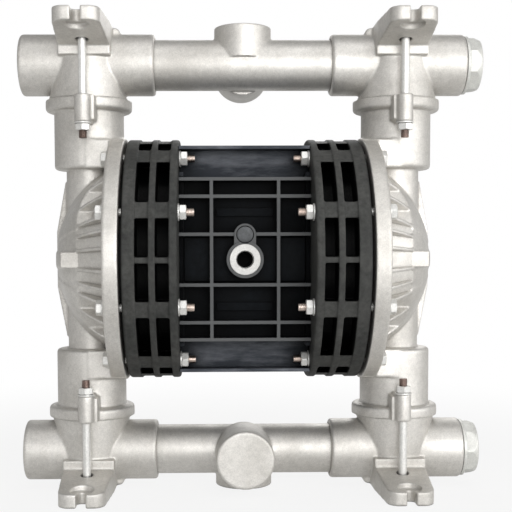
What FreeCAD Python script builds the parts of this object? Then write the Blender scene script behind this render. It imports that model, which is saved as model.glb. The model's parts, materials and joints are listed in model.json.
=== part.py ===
import FreeCAD, Part
import Sketcher
import os
import re

# Air operated diaphragm pump, modelled about the shaft's centre and set on its soles.
# X runs along the shaft, -Y is the side with the air inlet, Z is up. Millimetres and degrees.

sizes = {
    # Layout: the shaft to columns and flange joints, a joint to its manifold, a manifold to its soles
    "columnOffset": 153.5,
    "jointOffset": 157,
    "manifoldRise": 36,
    "soleDrop": 36,
    # Manifold tee
    "sleeveRadius": 30,
    "sleeveOuterReach": 66,
    "sleeveInnerReach": 66.5,
    "sleeveRimRadius": 3,
    "bellRadius": 39.5,
    "bellTopRadius": 36.5,
    "blockFloor": 4,
    "blockCeiling": 13,
    "blockHalfWidth": 25,
    "blockHalfDepth": 38,
    "footHalfWidth": 21.5,
    "footReach": 98,
    "footThickness": 13,
    "footCornerRadius": 11,
    "footSlotRadius": 4.5,
    "footSlotOffset": 86,
    "spotFaceRadius": 11,
    "spotFaceThickness": 11.5,
    "lugRadius": 5.5,
    "lugLength": 22,
    "lugOffset": 27,
    "lugTopGap": 1,
    "lugEdgeRadius": 2.2,
    "portRadius": 20.2,
    "portDepth": 25,
    "flowRadius": 19,
    # Centre pipes
    "pipeRadius": 24.75,
    "socketDepth": 18.5,
    "socketClearance": 0.15,
    "pipeEndGap": 2.5,
    "bossRadius": 28.25,
    "bossFoot": 4.5,
    "sideBossReach": 63,
    "bossEdgeRadius": 2,
    "pipeSealRadius": 1.6,
    "pipeSealInset": 8,
    "sealClearance": 0.02,
    # Port plugs
    "plugFlats": 50,
    "plugCollarRadius": 28.5,
    "plugCollarThickness": 3,
    "plugHeadThickness": 12.5,
    "plugSpigotLength": 20,
    "plugThreadClearance": 0.2,
    "plugCoreRadius": 14,
    "plugBevelFootRadius": 29.5,
    "plugBevelTopRadius": 24.5,
    # Valve balls, seats and cages
    "ballRadius": 21,
    "ballLift": 8,
    "ballSeatGap": 0.35,
    "ballStopGap": 0.4,
    "ballGuideGap": 0.8,
    "cageRadius": 27,
    "cageFinWidth": 5,
    "cageCrown": 9,
    "cageCrownRadius": 14,
    "seatRadius": 31,
    "seatThickness": 8,
    "seatBore": 17,
    "seatChamfer": 2,
    "seatClearance": 0.1,
    "seatSealRadius": 1.5,
    # Pump cover
    "coverFace": 115.6,
    "flangeThickness": 14.6,
    "flangeRadius": 120,
    "flangeEdgeRadius": 2,
    "domeCentre": 86,
    "domeRadius": 101,
    "pocketFloorRadius": 91,
    "chamberRadius": 85,
    "chamberMouthRadius": 92,
    "capWall": 8,
    "capHollowRadius": 56,
    "capRadius": 69,
    "crownHalfWidth": 54,
    "crownShoulder": 43,
    "crownTop": 88,
    "crownTopHalfWidth": 25,
    "ribThickness": 3.5,
    "ribAngleOne": 7,
    "ribAngleTwo": 18,
    "ribAngleThree": 27,
    "ribAngleFour": 43,
    "ribAngleFive": 60,
    "bandHalfHeight": 7.5,
    "bandRise": 0.3,
    "bandReach": 72,
    "hollowDepth": 0.8,
    "hollowMiddleHalf": 12,
    "hollowBendOffset": 34,
    "hollowBendHalf": 20,
    "hollowEndHalf": 31,
    "columnRadius": 23,
    "columnBore": 16,
    "neckRadius": 34.5,
    "neckStart": 89,
    "neckFlangeRadius": 42.7,
    "neckFlangeThickness": 11,
    "neckFlangeEdgeRadius": 3.5,
    "webHalfDepth": 34.8,
    "webTop": 116.6,
    "tieOffset": 50,
    "earRadius": 7.75,
    "earLength": 26,
    "earRibWidth": 3.5,
    "earRibInset": 2.5,
    "finThickness": 3,
    "finTop": 77,
    "finTopReach": 178,
    "finMiddleReach": 187,
    "finMiddleHalfHeight": 28,
    # Diaphragms, plates and shaft
    "diaphragmRimThickness": 2.6,
    "diaphragmRimRadius": 101.5,
    "diaphragmThickness": 3,
    "foldOuterRadius": 88,
    "foldInnerRadius": 62,
    "foldDepth": 6.5,
    "foldWallStep": 1,
    "plateRadius": 56,
    "plateThickness": 8,
    "plateBevel": 3,
    "outerPlateThickness": 12,
    "outerPlateRimThickness": 4,
    "outerPlateShoulderHeight": 9.6,
    "outerPlateShoulderRadius": 33.6,
    "outerPlateCrownRadius": 12.5,
    "plateGap": 0.3,
    "shaftRadius": 11,
    "shaftClearance": 0.05,
    "shaftBoltRadius": 6,
    "shaftBoltDepth": 22,
    "shaftBoltHeadRadius": 10.5,
    "shaftBoltHeadHeight": 7.5,
    "bushRadius": 15,
    "bushLength": 22,
    "shaftSealRadius": 18,
    "shaftSealLength": 6,
    # Air chamber ring
    "blockFace": 62.5,
    "ringRadius": 118.6,
    "ringGrooveDepth": 1.4,
    "ringEdgeRadius": 2.5,
    "ringCoreRadius": 94,
    "hoopRootRadius": 98,
    "dishFloor": 80,
    "dishFloorRadius": 70,
    "dishCornerSize": 4,
    "innerSlotStart": 70,
    "innerSlotEnd": 82.4,
    "outerSlotStart": 88.4,
    "outerSlotEnd": 100.7,
    "middleRibHalf": 2.7,
    "lowWebBottom": 37.5,
    "lowWebTop": 52.3,
    "highWebBottom": 90.5,
    "highWebTop": 103.3,
    "crownWebBottom": 111.3,
    "slotMiddleHalf": 12,
    # Centre block
    "blockHalfHeight": 108.5,
    "blockCoreHalfDepth": 34,
    "blockMiddleHalfDepth": 48,
    "blockMiddleHalfHeight": 77,
    "edgePlateThickness": 3.2,
    "edgePlateHalfDepth": 50,
    "blockRibThickness": 3.3,
    "blockRibHalfDepth": 64,
    "blockRibLow": 24,
    "blockRibMiddle": 59.7,
    "blockRibHigh": 76,
    "uprightOffset": 31.7,
    "panelHalfWidth": 57.5,
    "panelHalfHeight": 20.5,
    "panelHalfDepth": 56,
    "stripHalfWidth": 27,
    "stripHalfDepth": 50,
    "stripBottom": 41.5,
    "stripTop": 49,
    "sideWallThickness": 4,
    "sideWallHalfHeight": 83,
    "sideWallHalfDepth": 54,
    "shaftTunnelRadius": 12.5,
    "valvePadHalfLength": 52,
    "mufflerBossRadius": 19.5,
    # Air inlet and pilot port on the block's front
    "inletBossRadius": 17.6,
    "inletBossFace": 66,
    "insertRadius": 14.6,
    "insertLength": 16,
    "insertProud": 0.6,
    "inletThreadRadius": 8.33,
    "inletDrillRadius": 6,
    "inletDrillDepth": 10,
    "pilotOffset": 23.6,
    "pilotLobeRadius": 10.4,
    "pilotLobeFace": 65,
    "pilotPlugRadius": 8.3,
    "pilotPlugLength": 7,
    # Cover bolts
    "boltCircleRadius": 106.5,
    "lowBoltAngle": 24,
    "highBoltAngle": 65,
    "boltRadius": 4,
    "boltHoleRadius": 4.5,
    "boltHeadHeight": 5.3,
    "nutFlats": 13,
    "nutHeight": 6.5,
    "washerRadius": 8,
    "washerThickness": 1.6,
    "boltStub": 7,
    "boltSpotRadius": 8.3,
    # Tie bolts
    "tieReliefRadius": 6,
    "tieBearingThickness": 6,
    "tieHeadRecess": 8,
    "tieHeadRecessRadius": 8.8,
    # Air valve and muffler on the block's rear
    "gasketThickness": 1,
    "valveBodyHalfLength": 50,
    "valveBodyHalfHeight": 30,
    "valveBodyDepth": 44,
    "valveCornerRadius": 5,
    "sleeveBoreDepth": 22,
    "valveSleeveRadius": 16,
    "valveSleeveClearance": 0.05,
    "spoolRadius": 12,
    "spoolClearance": 0.05,
    "spoolNeckRadius": 8,
    "spoolHalfLength": 42,
    "spoolLandLength": 12,
    "spoolSealRadius": 1.2,
    "endCapRadius": 21.5,
    "endCapThickness": 8,
    "endCapEdgeRadius": 1,
    "capScrewRadius": 1.5,
    "capScrewHeadRadius": 2.6,
    "capScrewCircle": 18,
    "capScrewHeadHeight": 3,
    "capScrewLength": 10,
    "bodyScrewRadius": 3,
    "bodyScrewInsetX": 8,
    "bodyScrewInsetZ": 7,
    "bodyScrewHeadRadius": 4.9,
    "bodyScrewHeadHeight": 6,
    "bodyScrewRecessRadius": 5.2,
    "bodyScrewGrip": 10,
    "mufflerDrop": 62,
    "mufflerSpigotRadius": 8,
    "mufflerSpigotLength": 14,
    "mufflerCollarRadius": 12,
    "mufflerCollarLength": 6,
    "mufflerRadius": 17.5,
    "mufflerLength": 44,
    "mufflerFluteRadius": 1.8,
    "mufflerFlutes": 14,
}

# Heights above the shaft and the floor that follow from the layout
derived = {
    "manifoldOffset": "(jointOffset + manifoldRise)",
    "centreHeight": "(jointOffset + manifoldRise + soleDrop)",
}

doc = FreeCAD.newDocument("DiaphragmPump")
sheet = doc.addObject("Spreadsheet::Sheet", "Sizes")
for row, (alias, value) in enumerate(sizes.items(), start=1):
    sheet.set(f"A{row}", alias)
    sheet.set(f"B{row}", str(value))
    sheet.setAlias(f"B{row}", alias)
doc.recompute()

pieces = []
centre = ("0", "0", "0")
# How far a cutting tool runs past the face that it opens, and how near two places count as one
past = 1
near = 0.01
plain = FreeCAD.Rotation()
aboutX = FreeCAD.Vector(1, 0, 0)
aboutY = FreeCAD.Vector(0, 1, 0)
aboutZ = FreeCAD.Vector(0, 0, 1)
halfTurnX = FreeCAD.Rotation(aboutX, 180)
halfTurnY = FreeCAD.Rotation(aboutY, 180)
halfTurnZ = FreeCAD.Rotation(aboutZ, 180)
# Turns that carry a primitive's own Z to a direction
uprightTo = {
    "x": FreeCAD.Rotation(aboutY, 90),
    "-x": FreeCAD.Rotation(aboutY, -90),
    "y": FreeCAD.Rotation(aboutX, -90),
    "-y": FreeCAD.Rotation(aboutX, 90),
    "z": plain,
    "-z": halfTurnX,
}
# Turns that carry a turned body's own X to a direction
axisTo = {
    "x": plain,
    "-x": halfTurnZ,
    "y": FreeCAD.Rotation(aboutZ, 90),
    "-y": FreeCAD.Rotation(aboutZ, -90),
    "z": FreeCAD.Rotation(aboutY, -90),
    "-z": FreeCAD.Rotation(aboutY, 90),
}
# Turns of an outline's plane: its normal is +Z, -Y or +X
outlineTo = {
    "xy": plain,
    "xz": FreeCAD.Rotation(aboutX, 90),
    "yz": FreeCAD.Rotation(FreeCAD.Vector(1, 1, 1), 120),
}


def formula(text):
    """A formula in aliases, as an expression on the sheet."""
    name = r"[A-Za-z]\w*"
    text = re.sub(name, lambda word: derived.get(word.group(), word.group()), text)
    return re.sub(name, lambda word: ("Sizes." if word.group() in sizes else "") + word.group(), text)


def bind(item, **formulas):
    for name, text in formulas.items():
        item.setExpression(name, formula(text))
    return item


def place(item, at=centre, turn=plain):
    item.Placement = FreeCAD.Placement(FreeCAD.Vector(), turn)
    for letter, text in zip("xyz", at):
        if text != "0":
            item.setExpression("Placement.Base." + letter, formula(text))
    return item


def cylinder(radius, length, at=centre, along="z"):
    item = doc.addObject("Part::Cylinder", "Cylinder")
    bind(item, Radius=radius, Height=length)
    return place(item, at, uprightTo[along])


def cone(startRadius, endRadius, length, at=centre, along="z"):
    item = doc.addObject("Part::Cone", "Cone")
    bind(item, Radius1=startRadius, Radius2=endRadius, Height=length)
    return place(item, at, uprightTo[along])


def ball(radius, at=centre):
    item = doc.addObject("Part::Sphere", "Ball")
    bind(item, Radius=radius)
    return place(item, at)


def torus(centreRadius, sectionRadius, at=centre, along="z"):
    item = doc.addObject("Part::Torus", "Torus")
    bind(item, Radius1=centreRadius, Radius2=sectionRadius)
    return place(item, at, uprightTo[along])


def box(low, high):
    item = doc.addObject("Part::Box", "Box")
    spans = [f"({top}) - ({bottom})" for bottom, top in zip(low, high)]
    bind(item, Length=spans[0], Width=spans[1], Height=spans[2])
    return place(item, low)


def polygonBar(sides, flats, length, at=centre, along="z", spin=0):
    """A bar of regular section, sized across its flats; spin turns it about its own axis."""
    item = doc.addObject("Part::Prism", "PolygonBar")
    item.Polygon = sides
    bind(item, Circumradius=f"({flats})/2/cos(180/{sides})", Height=length)
    return place(item, at, uprightTo[along] * FreeCAD.Rotation(aboutZ, spin))


def fuse(*items):
    item = doc.addObject("Part::MultiFuse", "Fuse")
    item.Shapes = list(items)
    return item


def cut(base, *tools):
    item = doc.addObject("Part::Cut", "Cut")
    item.Base = base
    item.Tool = tools[0] if len(tools) == 1 else fuse(*tools)
    return item


def common(*items):
    item = doc.addObject("Part::MultiCommon", "Common")
    item.Shapes = list(items)
    return item


def group(*items):
    """Separate solids kept as one node."""
    item = doc.addObject("Part::Compound", "Group")
    item.Links = list(items)
    return item


def addOutline(sketch, points):
    """A closed outline of straight sides; each corner is held by two driven distances."""
    count = len(points)
    for number in range(count):
        start = FreeCAD.Vector(number, number % 2, 0)
        end = FreeCAD.Vector((number + 1) % count, (number + 1) % count % 2 + 2, 0)
        sketch.addGeometry(Part.LineSegment(start, end))
    for number in range(count):
        sketch.addConstraint(Sketcher.Constraint("Coincident", number, 2, (number + 1) % count, 1))
    for number, point in enumerate(points):
        for kind, text in zip(("DistanceX", "DistanceY"), point):
            index = sketch.addConstraint(Sketcher.Constraint(kind, number, 1, 1.0))
            sketch.setExpression(f"Constraints[{index}]", formula(text))


def outlineBar(points, length, plane, at=centre):
    """An outline drawn out equally to both sides of its plane."""
    sketch = doc.addObject("Sketcher::SketchObject", "Outline")
    addOutline(sketch, points)
    place(sketch, at, outlineTo[plane])
    item = doc.addObject("Part::Extrusion", "OutlineBar")
    item.Base = sketch
    item.DirMode = "Normal"
    item.Solid = True
    item.Symmetric = True
    return bind(item, LengthFwd=length)


def turned(points, at=centre, along="x", rounding=None, rims=()):
    """A turned body from an outline of (axial, radial) corners; rims lists the edges to round."""
    body = doc.addObject("PartDesign::Body", "Turned")
    sketch = body.newObject("Sketcher::SketchObject", "Profile")
    plane = [feature for feature in body.Origin.OriginFeatures if feature.Role == "XY_Plane"][0]
    sketch.AttachmentSupport = [(plane, "")]
    sketch.MapMode = "FlatFace"
    addOutline(sketch, points)
    revolution = body.newObject("PartDesign::Revolution", "Revolution")
    revolution.Profile = sketch
    revolution.ReferenceAxis = (sketch, ["H_Axis"])
    revolution.Angle = 360
    if rims:
        doc.recompute()
        names = []
        for number, edge in enumerate(revolution.Shape.Edges, start=1):
            if any(isRim(edge, axial, radial) for axial, radial in rims):
                names.append(f"Edge{number}")
        fillet = body.newObject("PartDesign::Fillet", "Rounding")
        fillet.Base = (revolution, names)
        fillet.setExpression("Radius", formula(rounding))
    return place(body, at, axisTo[along])


def isCircle(edge):
    return edge.Curve.TypeId == "Part::GeomCircle"


def isRim(edge, axial, radial):
    """Whether an edge is the circle at this distance along a turned body and of this radius."""
    if not isCircle(edge):
        return False
    return abs(edge.Curve.Center.x - axial) < near and abs(edge.Curve.Radius - radial) < near


def rounded(item, radius, chosen):
    """Round the edges of an item that the chooser picks."""
    doc.recompute()
    fillet = doc.addObject("Part::Fillet", "Rounding")
    fillet.Base = item
    numbers = [number for number, edge in enumerate(item.Shape.Edges, start=1) if chosen(edge)]
    fillet.Edges = [(number, radius, radius) for number in numbers]
    return fillet


def keep(item, label, turn=plain, at=("0", "0", "centreHeight")):
    """Name a finished piece and set it in the pump's frame."""
    item.Label = label
    place(item, at, turn)
    pieces.append(item)
    return item


# Ball seats and cages: the ball's centre above the seat's top face, and the plane of its stop
ballAboveSeat = "(sqrt((ballRadius + ballSeatGap)^2 - seatBore^2) - seatChamfer)"
outletBallHeight = f"(jointOffset + seatThickness + {ballAboveSeat})"
inletBallHeight = f"({ballAboveSeat} - jointOffset)"
stopAboveBall = "(ballLift + ballRadius + ballStopGap)"


def cageHollow(floor, stop, more):
    """A ball cage about the Z axis: a round hollow with four guide fins and a crossed stop."""
    hollow = fuse(cylinder("cageRadius", f"{stop} - ({floor})", ("0", "0", floor)),
                  cone("cageRadius", "cageCrownRadius", "cageCrown", ("0", "0", stop)), *more)
    fins = []
    for turn in (45, 135, 225, 315):
        fin = box(("ballRadius + ballGuideGap", "-cageFinWidth/2", floor),
                  ("cageRadius + cageFinWidth", "cageFinWidth/2", stop))
        spin = FreeCAD.Rotation(aboutZ, turn)
        start = spin.multVec(aboutX)
        side = spin.multVec(aboutY)
        place(fin, (f"{start.x:.9f}*(ballRadius + ballGuideGap) - {side.x:.9f}*cageFinWidth/2",
                    f"{start.y:.9f}*(ballRadius + ballGuideGap) - {side.y:.9f}*cageFinWidth/2", floor), spin)
        fins.append(fin)
    crown = f"{stop} + cageCrown + {past}"
    acrossX = box(("-cageRadius", "-cageFinWidth/2", stop), ("cageRadius", "cageFinWidth/2", crown))
    acrossY = box(("-cageFinWidth/2", "-cageRadius", stop), ("cageFinWidth/2", "cageRadius", crown))
    return cut(hollow, *fins, acrossX, acrossY)


def manifoldTee():
    """One casting used four times: port sleeve along X, bell over the cover's neck, foot brackets."""
    bellFloor = "(-manifoldRise)"
    sole = "soleDrop"
    seatTop = f"({bellFloor} + seatThickness)"
    sleeve = cylinder("sleeveRadius", "sleeveInnerReach + sleeveOuterReach",
                      ("-sleeveInnerReach", "0", "0"), "x")
    sleeve = rounded(sleeve, sheet.sleeveRimRadius, isCircle)
    # Each flank of the bell is hollowed by a large cylinder, upright where it meets the block
    flareWidth = f"(bellRadius + {past} - blockHalfWidth)"
    flareRadius = f"(({flareWidth}^2 + (blockFloor - {bellFloor})^2)/2/{flareWidth})"
    flares = []
    for way in ("-1", "1"):
        spot = (f"{way}*(blockHalfWidth + {flareRadius})", f"-bellRadius - {past}", "blockFloor")
        flares.append(cylinder(flareRadius, f"(bellRadius + {past})*2", spot, "y"))
    bell = cone("bellRadius", "bellTopRadius", f"blockFloor - {bellFloor}", ("0", "0", bellFloor))
    bell = cut(bell, *flares)
    underside = f"({sole} - footThickness)"
    bracketSide = outlineBar(
        [("-footReach", sole), ("footReach", sole), ("footReach", underside),
         ("blockHalfDepth", "blockCeiling"), ("blockHalfDepth", "blockFloor"),
         ("-blockHalfDepth", "blockFloor"), ("-blockHalfDepth", "blockCeiling"),
         ("-footReach", underside)], "blockHalfWidth*2", "yz")
    bracketPlan = outlineBar(
        [("-footHalfWidth", "-footReach"), ("footHalfWidth", "-footReach"),
         ("blockHalfWidth", "-blockHalfDepth"), ("blockHalfWidth", "blockHalfDepth"),
         ("footHalfWidth", "footReach"), ("-footHalfWidth", "footReach"),
         ("-blockHalfWidth", "blockHalfDepth"), ("-blockHalfWidth", "-blockHalfDepth")], f"{sole}*2", "xy")
    bracketPlan = rounded(bracketPlan, sheet.footCornerRadius, lambda edge: (
        edge.BoundBox.ZLength > near and abs(abs(edge.CenterOfMass.y) - sheet.footReach) < near))
    lug = cylinder("lugRadius", "lugLength",
                   ("-lugOffset", "-lugLength/2", f"{sole} - lugRadius - lugTopGap"), "y")
    lug = rounded(lug, sheet.lugEdgeRadius, isCircle)
    casting = fuse(sleeve, bell, common(bracketSide, bracketPlan), lug)
    bore = cylinder("flowRadius", f"sleeveInnerReach + sleeveOuterReach + {past}*2",
                    (f"-sleeveInnerReach - {past}", "0", "0"), "x")
    stop = f"({seatTop} + {ballAboveSeat} + {stopAboveBall})"
    tools = [
        cageHollow(bellFloor, stop, [bore]),
        cylinder("seatRadius + seatClearance", f"seatThickness + {past}",
                 ("0", "0", f"{bellFloor} - {past}")),
        cylinder("pipeRadius + socketClearance", f"socketDepth + {past}",
                 (f"-sleeveInnerReach - {past}", "0", "0"), "x"),
        cylinder("portRadius", f"portDepth + {past}", ("sleeveOuterReach - portDepth", "0", "0"), "x"),
    ]
    for way in ("-1", "1"):
        slotEnd = f"{way}*footSlotOffset"
        mouthMiddle = f"{way}*(footReach + footSlotOffset)/2"
        mouthHalf = f"(footReach - footSlotOffset)/2 + {past}"
        tie = f"{way}*tieOffset"
        tools += [
            box(("-footSlotRadius", f"{mouthMiddle} - ({mouthHalf})", "0"),
                ("footSlotRadius", f"{mouthMiddle} + {mouthHalf}", f"{sole} + {past}")),
            cylinder("footSlotRadius", f"{sole} + {past}", ("0", slotEnd, "0")),
            cylinder("spotFaceRadius", f"{sole} - spotFaceThickness", ("0", slotEnd, "0")),
            cylinder("boltHoleRadius", f"{sole} + {past}", ("0", tie, "0")),
            cylinder("tieReliefRadius", f"{sole} - tieHeadRecess - tieBearingThickness", ("0", tie, "0")),
            cylinder("tieHeadRecessRadius", f"tieHeadRecess + {past}", ("0", tie, f"{sole} - tieHeadRecess")),
        ]
    return cut(casting, *tools)


tee = manifoldTee()
for label, turn, side, level in (
        ("discharge_tee_right", plain, "1", "1"), ("discharge_tee_left", halfTurnZ, "-1", "1"),
        ("suction_tee_right", halfTurnX, "1", "-1"), ("suction_tee_left", halfTurnY, "-1", "-1")):
    keep(group(tee), label, turn, (f"{side}*columnOffset", "0", f"centreHeight + {level}*manifoldOffset"))


def centrePipe():
    """One casting used twice: a pipe with two blank bosses, outward and to one side."""
    halfLength = "(columnOffset - sleeveInnerReach + socketDepth - pipeEndGap)"
    sealPlace = f"({halfLength} - pipeSealInset)"
    pipe = cylinder("pipeRadius", f"{halfLength}*2", (f"-{halfLength}", "0", "0"), "x")
    upBoss = cylinder("bossRadius", "soleDrop - bossFoot", ("0", "0", "bossFoot"))
    sideBoss = cylinder("bossRadius", "sideBossReach - bossFoot", ("0", "bossFoot", "0"), "y")
    sideBoss = rounded(sideBoss, sheet.bossEdgeRadius, lambda edge: (
        isCircle(edge) and edge.CenterOfMass.y > sheet.bossFoot + near))
    bore = cylinder("flowRadius", f"({halfLength} + {past})*2", (f"-{halfLength} - {past}", "0", "0"), "x")
    grooves = []
    for way in ("-1", "1"):
        start = f"{way}*{sealPlace} - pipeSealRadius - sealClearance"
        width = "(pipeSealRadius + sealClearance)*2"
        outside = cylinder(f"pipeRadius + {past}", width, (start, "0", "0"), "x")
        inside = cylinder(f"pipeRadius + socketClearance - {width}", width, (start, "0", "0"), "x")
        grooves.append(cut(outside, inside))
    return cut(fuse(pipe, upBoss, sideBoss), bore, *grooves)


pipe = centrePipe()
keep(group(pipe), "discharge_pipe", plain, ("0", "0", "centreHeight + manifoldOffset"))
keep(group(pipe), "suction_pipe", halfTurnX, ("0", "0", "centreHeight - manifoldOffset"))

pipeSealPlace = "(columnOffset - sleeveInnerReach + socketDepth - pipeEndGap - pipeSealInset)"
pipeSeals = [
    torus("pipeRadius + socketClearance - pipeSealRadius - sealClearance", "pipeSealRadius",
          (f"{side}*{pipeSealPlace}", "0", f"{level}*manifoldOffset"), "x")
    for side in ("-1", "1") for level in ("-1", "1")]
keep(group(*pipeSeals), "pipe_seals")


def portPlug(label, spin, level):
    """Octagonal plug with a round collar and a hollow threaded spigot."""
    face = "(columnOffset + sleeveOuterReach)"
    height = f"{level}*manifoldOffset"
    headFoot = f"{face} + plugCollarThickness"
    head = polygonBar(8, "plugFlats", "plugHeadThickness", (headFoot, "0", height), "x", spin)
    bevel = cone("plugBevelFootRadius", "plugBevelTopRadius", "plugHeadThickness",
                 (headFoot, "0", height), "x")
    collar = cylinder("plugCollarRadius", "plugCollarThickness", (face, "0", height), "x")
    spigot = cylinder("portRadius - plugThreadClearance", "plugSpigotLength",
                      (f"{face} - plugSpigotLength", "0", height), "x")
    core = cylinder("plugCoreRadius", "plugSpigotLength",
                    (f"{face} - plugSpigotLength - {past}", "0", height), "x")
    keep(cut(fuse(common(head, bevel), collar, spigot), core), label)


portPlug("discharge_port_plug", 22.5, "1")
portPlug("suction_port_plug", 0, "-1")


def ballSeat():
    """A seat ring with a chamfered mouth upwards, held in a recess of the tee below or above it."""
    grooveStart = "seatThickness/2 - seatSealRadius - sealClearance"
    grooveEnd = "seatThickness/2 + seatSealRadius + sealClearance"
    grooveFloor = "seatRadius + seatClearance - (seatSealRadius + sealClearance)*2"
    return turned(
        [("0", "seatBore"), ("seatThickness - seatChamfer", "seatBore"),
         ("seatThickness", "seatBore + seatChamfer"), ("seatThickness", "seatRadius"),
         (grooveEnd, "seatRadius"), (grooveEnd, grooveFloor),
         (grooveStart, grooveFloor), (grooveStart, "seatRadius"), ("0", "seatRadius")])


seat = ballSeat()
seatSeals = []
for name, side in (("left", "-1"), ("right", "1")):
    for port, floor, height in (("outlet", "jointOffset", outletBallHeight),
                                ("inlet", "-jointOffset - seatThickness", inletBallHeight)):
        keep(group(seat), f"{port}_seat_{name}", axisTo["z"],
             (f"{side}*columnOffset", "0", f"centreHeight + {floor}"))
        keep(ball("ballRadius"), f"{port}_ball_{name}", plain,
             (f"{side}*columnOffset", "0", f"centreHeight + {height}"))
        seatSeals.append(torus(
            "seatRadius + seatClearance - seatSealRadius - sealClearance", "seatSealRadius",
            (f"{side}*columnOffset", "0", f"{floor} + seatThickness/2")))
keep(group(*seatSeals), "seat_seals")

# Where the cover bolts pass: four angles a side on one circle, front and rear, above and below
boltSpots = [(f"{front}*boltCircleRadius*cos({angle})", f"{up}*boltCircleRadius*sin({angle})")
             for angle in ("lowBoltAngle", "highBoltAngle") for front in ("-1", "1") for up in ("-1", "1")]
tieSpots = [(f"{side}*columnOffset", f"{front}*tieOffset", level)
            for side in ("-1", "1") for front in ("-1", "1") for level in (-1, 1)]


def radialPlate(angle, up):
    """A plate through the dome's axis; its upper front edge points at this angle above the front."""
    tilt = f"({up}*(90 - {angle}))"
    reach = "flangeRadius"
    item = doc.addObject("Part::Box", "RibPlate")
    bind(item, Length="domeRadius", Width="ribThickness", Height=f"{reach}*2")
    item.Placement = FreeCAD.Placement(FreeCAD.Vector(), FreeCAD.Rotation(aboutX, 30))
    return bind(item, **{
        "Placement.Rotation.Angle": tilt,
        "Placement.Base.x": "coverFace",
        "Placement.Base.y": f"{reach}*sin({tilt}) - ribThickness/2*cos({tilt})",
        "Placement.Base.z": f"-{reach}*cos({tilt}) - ribThickness/2*sin({tilt})",
    })


def neck(level):
    """Wide end of the column with a rounded foot and the joint flange."""
    start = "neckStart"
    flange = "jointOffset - neckFlangeThickness"
    return turned(
        [(start, "0"), (start, "neckRadius"), (flange, "neckRadius"), (flange, "neckFlangeRadius"),
         ("jointOffset", "neckFlangeRadius"), ("jointOffset", "0")],
        ("columnOffset", "0", "0"), "z" if level > 0 else "-z", "neckFlangeEdgeRadius",
        [(sheet.neckStart, sheet.neckRadius),
         (sheet.jointOffset - sheet.neckFlangeThickness, sheet.neckFlangeRadius)])


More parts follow.
